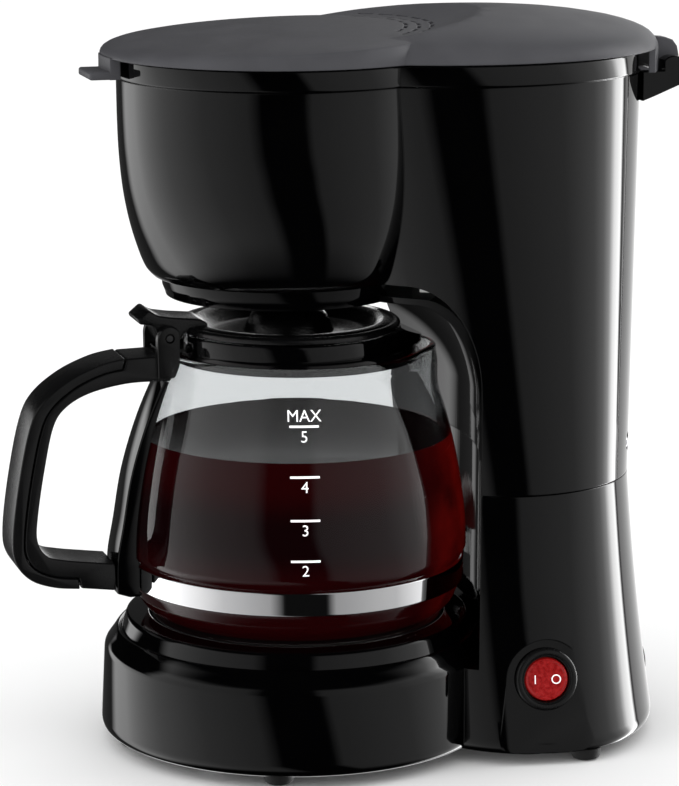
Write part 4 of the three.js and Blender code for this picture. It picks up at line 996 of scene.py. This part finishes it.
# ------------------------------------------------------------------ carried-over CAD nodes
def smoothing_group():
    """Shades a carried-over node smooth, with edges over 35 degrees kept sharp."""
    group = bpy.data.node_groups.new("smooth_shade", "GeometryNodeTree")
    group.interface.new_socket("Geometry", in_out="INPUT", socket_type="NodeSocketGeometry")
    group.interface.new_socket("Geometry", in_out="OUTPUT", socket_type="NodeSocketGeometry")
    nodes, links = group.nodes, group.links
    start, end = nodes.new("NodeGroupInput"), nodes.new("NodeGroupOutput")
    faces, edges = nodes.new("GeometryNodeSetShadeSmooth"), nodes.new("GeometryNodeSetShadeSmooth")
    faces.domain, edges.domain = "FACE", "EDGE"
    angle = nodes.new("GeometryNodeInputMeshEdgeAngle")
    under = nodes.new("FunctionNodeCompare")
    under.data_type, under.operation = "FLOAT", "LESS_THAN"
    under.inputs["B"].default_value = 35 * RAD
    faces.inputs["Shade Smooth"].default_value = True
    links.new(angle.outputs["Unsigned Angle"], under.inputs["A"])
    links.new(under.outputs[0], edges.inputs["Shade Smooth"])
    links.new(start.outputs[0], faces.inputs[0])
    links.new(faces.outputs[0], edges.inputs[0])
    links.new(edges.outputs[0], end.inputs[0])
    return group


CARRIED = {
    "base_plate": INNER, "check_valve_body": INNER, "spout_nozzle": INNER, "brew_basket": INNER,
    "drip_stop_plunger": INNER, "shower_head": INNER, "drip_stop_seal": RUBBER, "heater_block": ALUMINIUM,
    "cold_water_hose": SILICONE, "hot_water_hose": SILICONE, "riser_pipe": SILICONE, "water_tank": TANK,
    "filter_cone": MESH, "heater_bridge": STEEL, "bridge_screw": STEEL, "thermostat": STEEL,
    "thermal_fuse": STEEL,
    "check_valve_ball": STEEL, "drip_stop_spring": STEEL, "strap_screw": STEEL,
    "base_screw_1": STEEL, "base_screw_2": STEEL, "base_screw_3": STEEL, "base_screw_4": STEEL,
}


def dress_carried_nodes():
    group = smoothing_group()
    for name, material in CARRIED.items():
        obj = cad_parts[name]
        for slot in obj.material_slots:
            slot.material = material
        smooth = obj.modifiers.new("smooth", "NODES")
        smooth.node_group = group


# ------------------------------------------------------------------ studio
ENVIRONMENT = [           # azimuth from +X towards +Y in degrees, and brightness seen in reflections
    (-180, 0.05), (-168, 0.05),                             # dark behind the far side
    (-160, 1.4), (-145, 1.9), (-112, 1.0), (-78, 0.5),      # softbox at the front, fading to the right
    (-45, 0.3), (-35, 0.0), (-6, 0.0),                      # black flag
    (0, 0.28), (45, 0.45), (70, 0.85), (80, 1.5),           # side fill
    (87, 3.0), (93, 8.0), (102, 9.0),                       # strip light
    (103, 0.1), (105, 0.1),                                 # its edge
    (106, 1.1), (150, 1.3), (165, 0.05), (180, 0.05)]       # rear fill
SLANT = 45.0              # degrees that the pattern turns per unit of downward slope
AMBIENT = 1.08            # brightness of the room for matte surfaces
BACKDROP = 1.02           # brightness of the white backdrop itself


def studio_world():
    world = bpy.data.worlds.new("studio")
    bpy.context.scene.world = world
    world.use_nodes = True
    tree = world.node_tree
    nodes, links = tree.nodes, tree.links

    coords = nodes.new("ShaderNodeTexCoord")
    axes = parts_of(tree, coords.outputs["Generated"])
    azimuth = maths(tree, "ARCTAN2", axes["Y"], axes["X"])
    downward = maths(tree, "MINIMUM", axes["Z"], 0.0)
    turned_by = maths(tree, "MULTIPLY", downward, SLANT * RAD)
    along = maths(tree, "ADD", maths(tree, "DIVIDE", maths(tree, "ADD", azimuth, turned_by),
        2 * math.pi), 0.5)
    along = maths(tree, "FRACT", along)
    ramp = nodes.new("ShaderNodeValToRGB")
    ramp.color_ramp.interpolation = "LINEAR"
    links.new(along, ramp.inputs["Fac"])
    brightest = 10.0
    stops = ramp.color_ramp.elements
    for i, (degrees, value) in enumerate(ENVIRONMENT):
        place_on = (degrees + 180) / 360
        stop = stops[i] if i < 2 else stops.new(place_on)
        stop.position = place_on
        stop.color = (value / brightest,) * 3 + (1,)
    band = maths(tree, "MULTIPLY", ramp.outputs["Color"], brightest)

    def step(value, start, end):
        """0 below start and 1 above end, or the other way round when start is the larger."""
        rising = start < end
        return ranged(tree, value, min(start, end), max(start, end), float(not rising), float(rising))

    top = step(axes["Z"], 0.72, 0.5)
    bottom = step(axes["Z"], -0.85, -0.55)
    rear_side = step(azimuth, -118 * RAD, -106 * RAD)
    low_side = step(axes["Z"], 0.08, 0.01)
    mirrored = maths(tree, "MULTIPLY", band, maths(tree, "MULTIPLY", top, bottom))
    mirrored = maths(tree, "MULTIPLY", mirrored, maths(tree, "MAXIMUM", rear_side, low_side))
    mirrored = maths(tree, "ADD", mirrored, 0.004)

    paths = nodes.new("ShaderNodeLightPath")
    direct = maths(tree, "MAXIMUM", paths.outputs["Is Camera Ray"], paths.outputs["Is Transmission Ray"])

    def choose(factor, a, b):
        node = nodes.new("ShaderNodeMix")
        node.data_type = "FLOAT"
        links.new(factor, node.inputs["Factor"])
        for socket, value in ((node.inputs["A"], a), (node.inputs["B"], b)):
            if isinstance(value, (int, float)):
                socket.default_value = value
            else:
                links.new(value, socket)
        return node.outputs["Result"]

    strength = choose(paths.outputs["Is Glossy Ray"], AMBIENT, mirrored)
    strength = choose(direct, strength, BACKDROP)
    background = next(node for node in nodes if node.type == "BACKGROUND")
    background.inputs["Color"].default_value = (1, 1, 1, 1)
    links.new(strength, background.inputs["Strength"])


def studio_floor():
    mesh = bpy.data.meshes.new("studio_floor")
    size = 3.0
    mesh.from_pydata([(-size, -size, 0), (size, -size, 0), (size, size, 0), (-size, size, 0)], [],
        [(0, 1, 2, 3)])
    floor = bpy.data.objects.new("studio_floor", mesh)
    bpy.context.scene.collection.objects.link(floor)
    floor.location.z = -0.0004
    floor.visible_glossy = False
    mesh.materials.append(surface("pale_floor", (0.95, 0.95, 0.95), (0.97, 0.97, 0.97), (0.6, 0.7),
        grain=3.0))
    mesh.materials[0].node_tree.nodes["Principled BSDF"].inputs["Specular IOR Level"].default_value = 0.0
    floor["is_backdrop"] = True


def soft_light(name, place_at, aim, size, power, seen=False):
    data = bpy.data.lights.new(name, "AREA")
    data.shape = "RECTANGLE"
    data.size, data.size_y = size
    data.energy = power
    light = bpy.data.objects.new(name, data)
    light.location = place_at
    light.rotation_euler = (Vector(aim) - Vector(place_at)).to_track_quat("-Z", "Y").to_euler()
    light.visible_glossy = seen
    light.visible_diffuse = not seen
    light.visible_transmission = False
    light.visible_camera = False
    bpy.context.scene.collection.objects.link(light)


def studio():
    studio_world()
    studio_floor()
    soft_light("bay_card", (-0.3, 0.1, 0.1), (0, 0.1, 0.1), (0.125, 0.22), 0.16, seen=True)
    soft_light("key_softbox", (0.5, -1.5, 1.1), (0, 0, 0.12), (0.9, 1.4), 6.0)
    soft_light("rear_softbox", (0.3, 1.6, 1.2), (0, 0, 0.15), (0.8, 1.2), 5.0)
    bpy.context.scene.view_settings.view_transform = "Standard"
    bpy.context.scene.view_settings.look = "None"


# ------------------------------------------------------------------ build
add_camera()
for make in (base_housing, warming_plate, small_base_parts, switch, upper_housing, bay_liner,
    back_cover, machine_lid,
             glass_jug, coffee, jug_collar, jug_lid, handle, gauge, dress_carried_nodes, studio):
    make()

corners = [[list(map(float, corner)) for corner in box] for box in (CAD_BOX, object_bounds())]
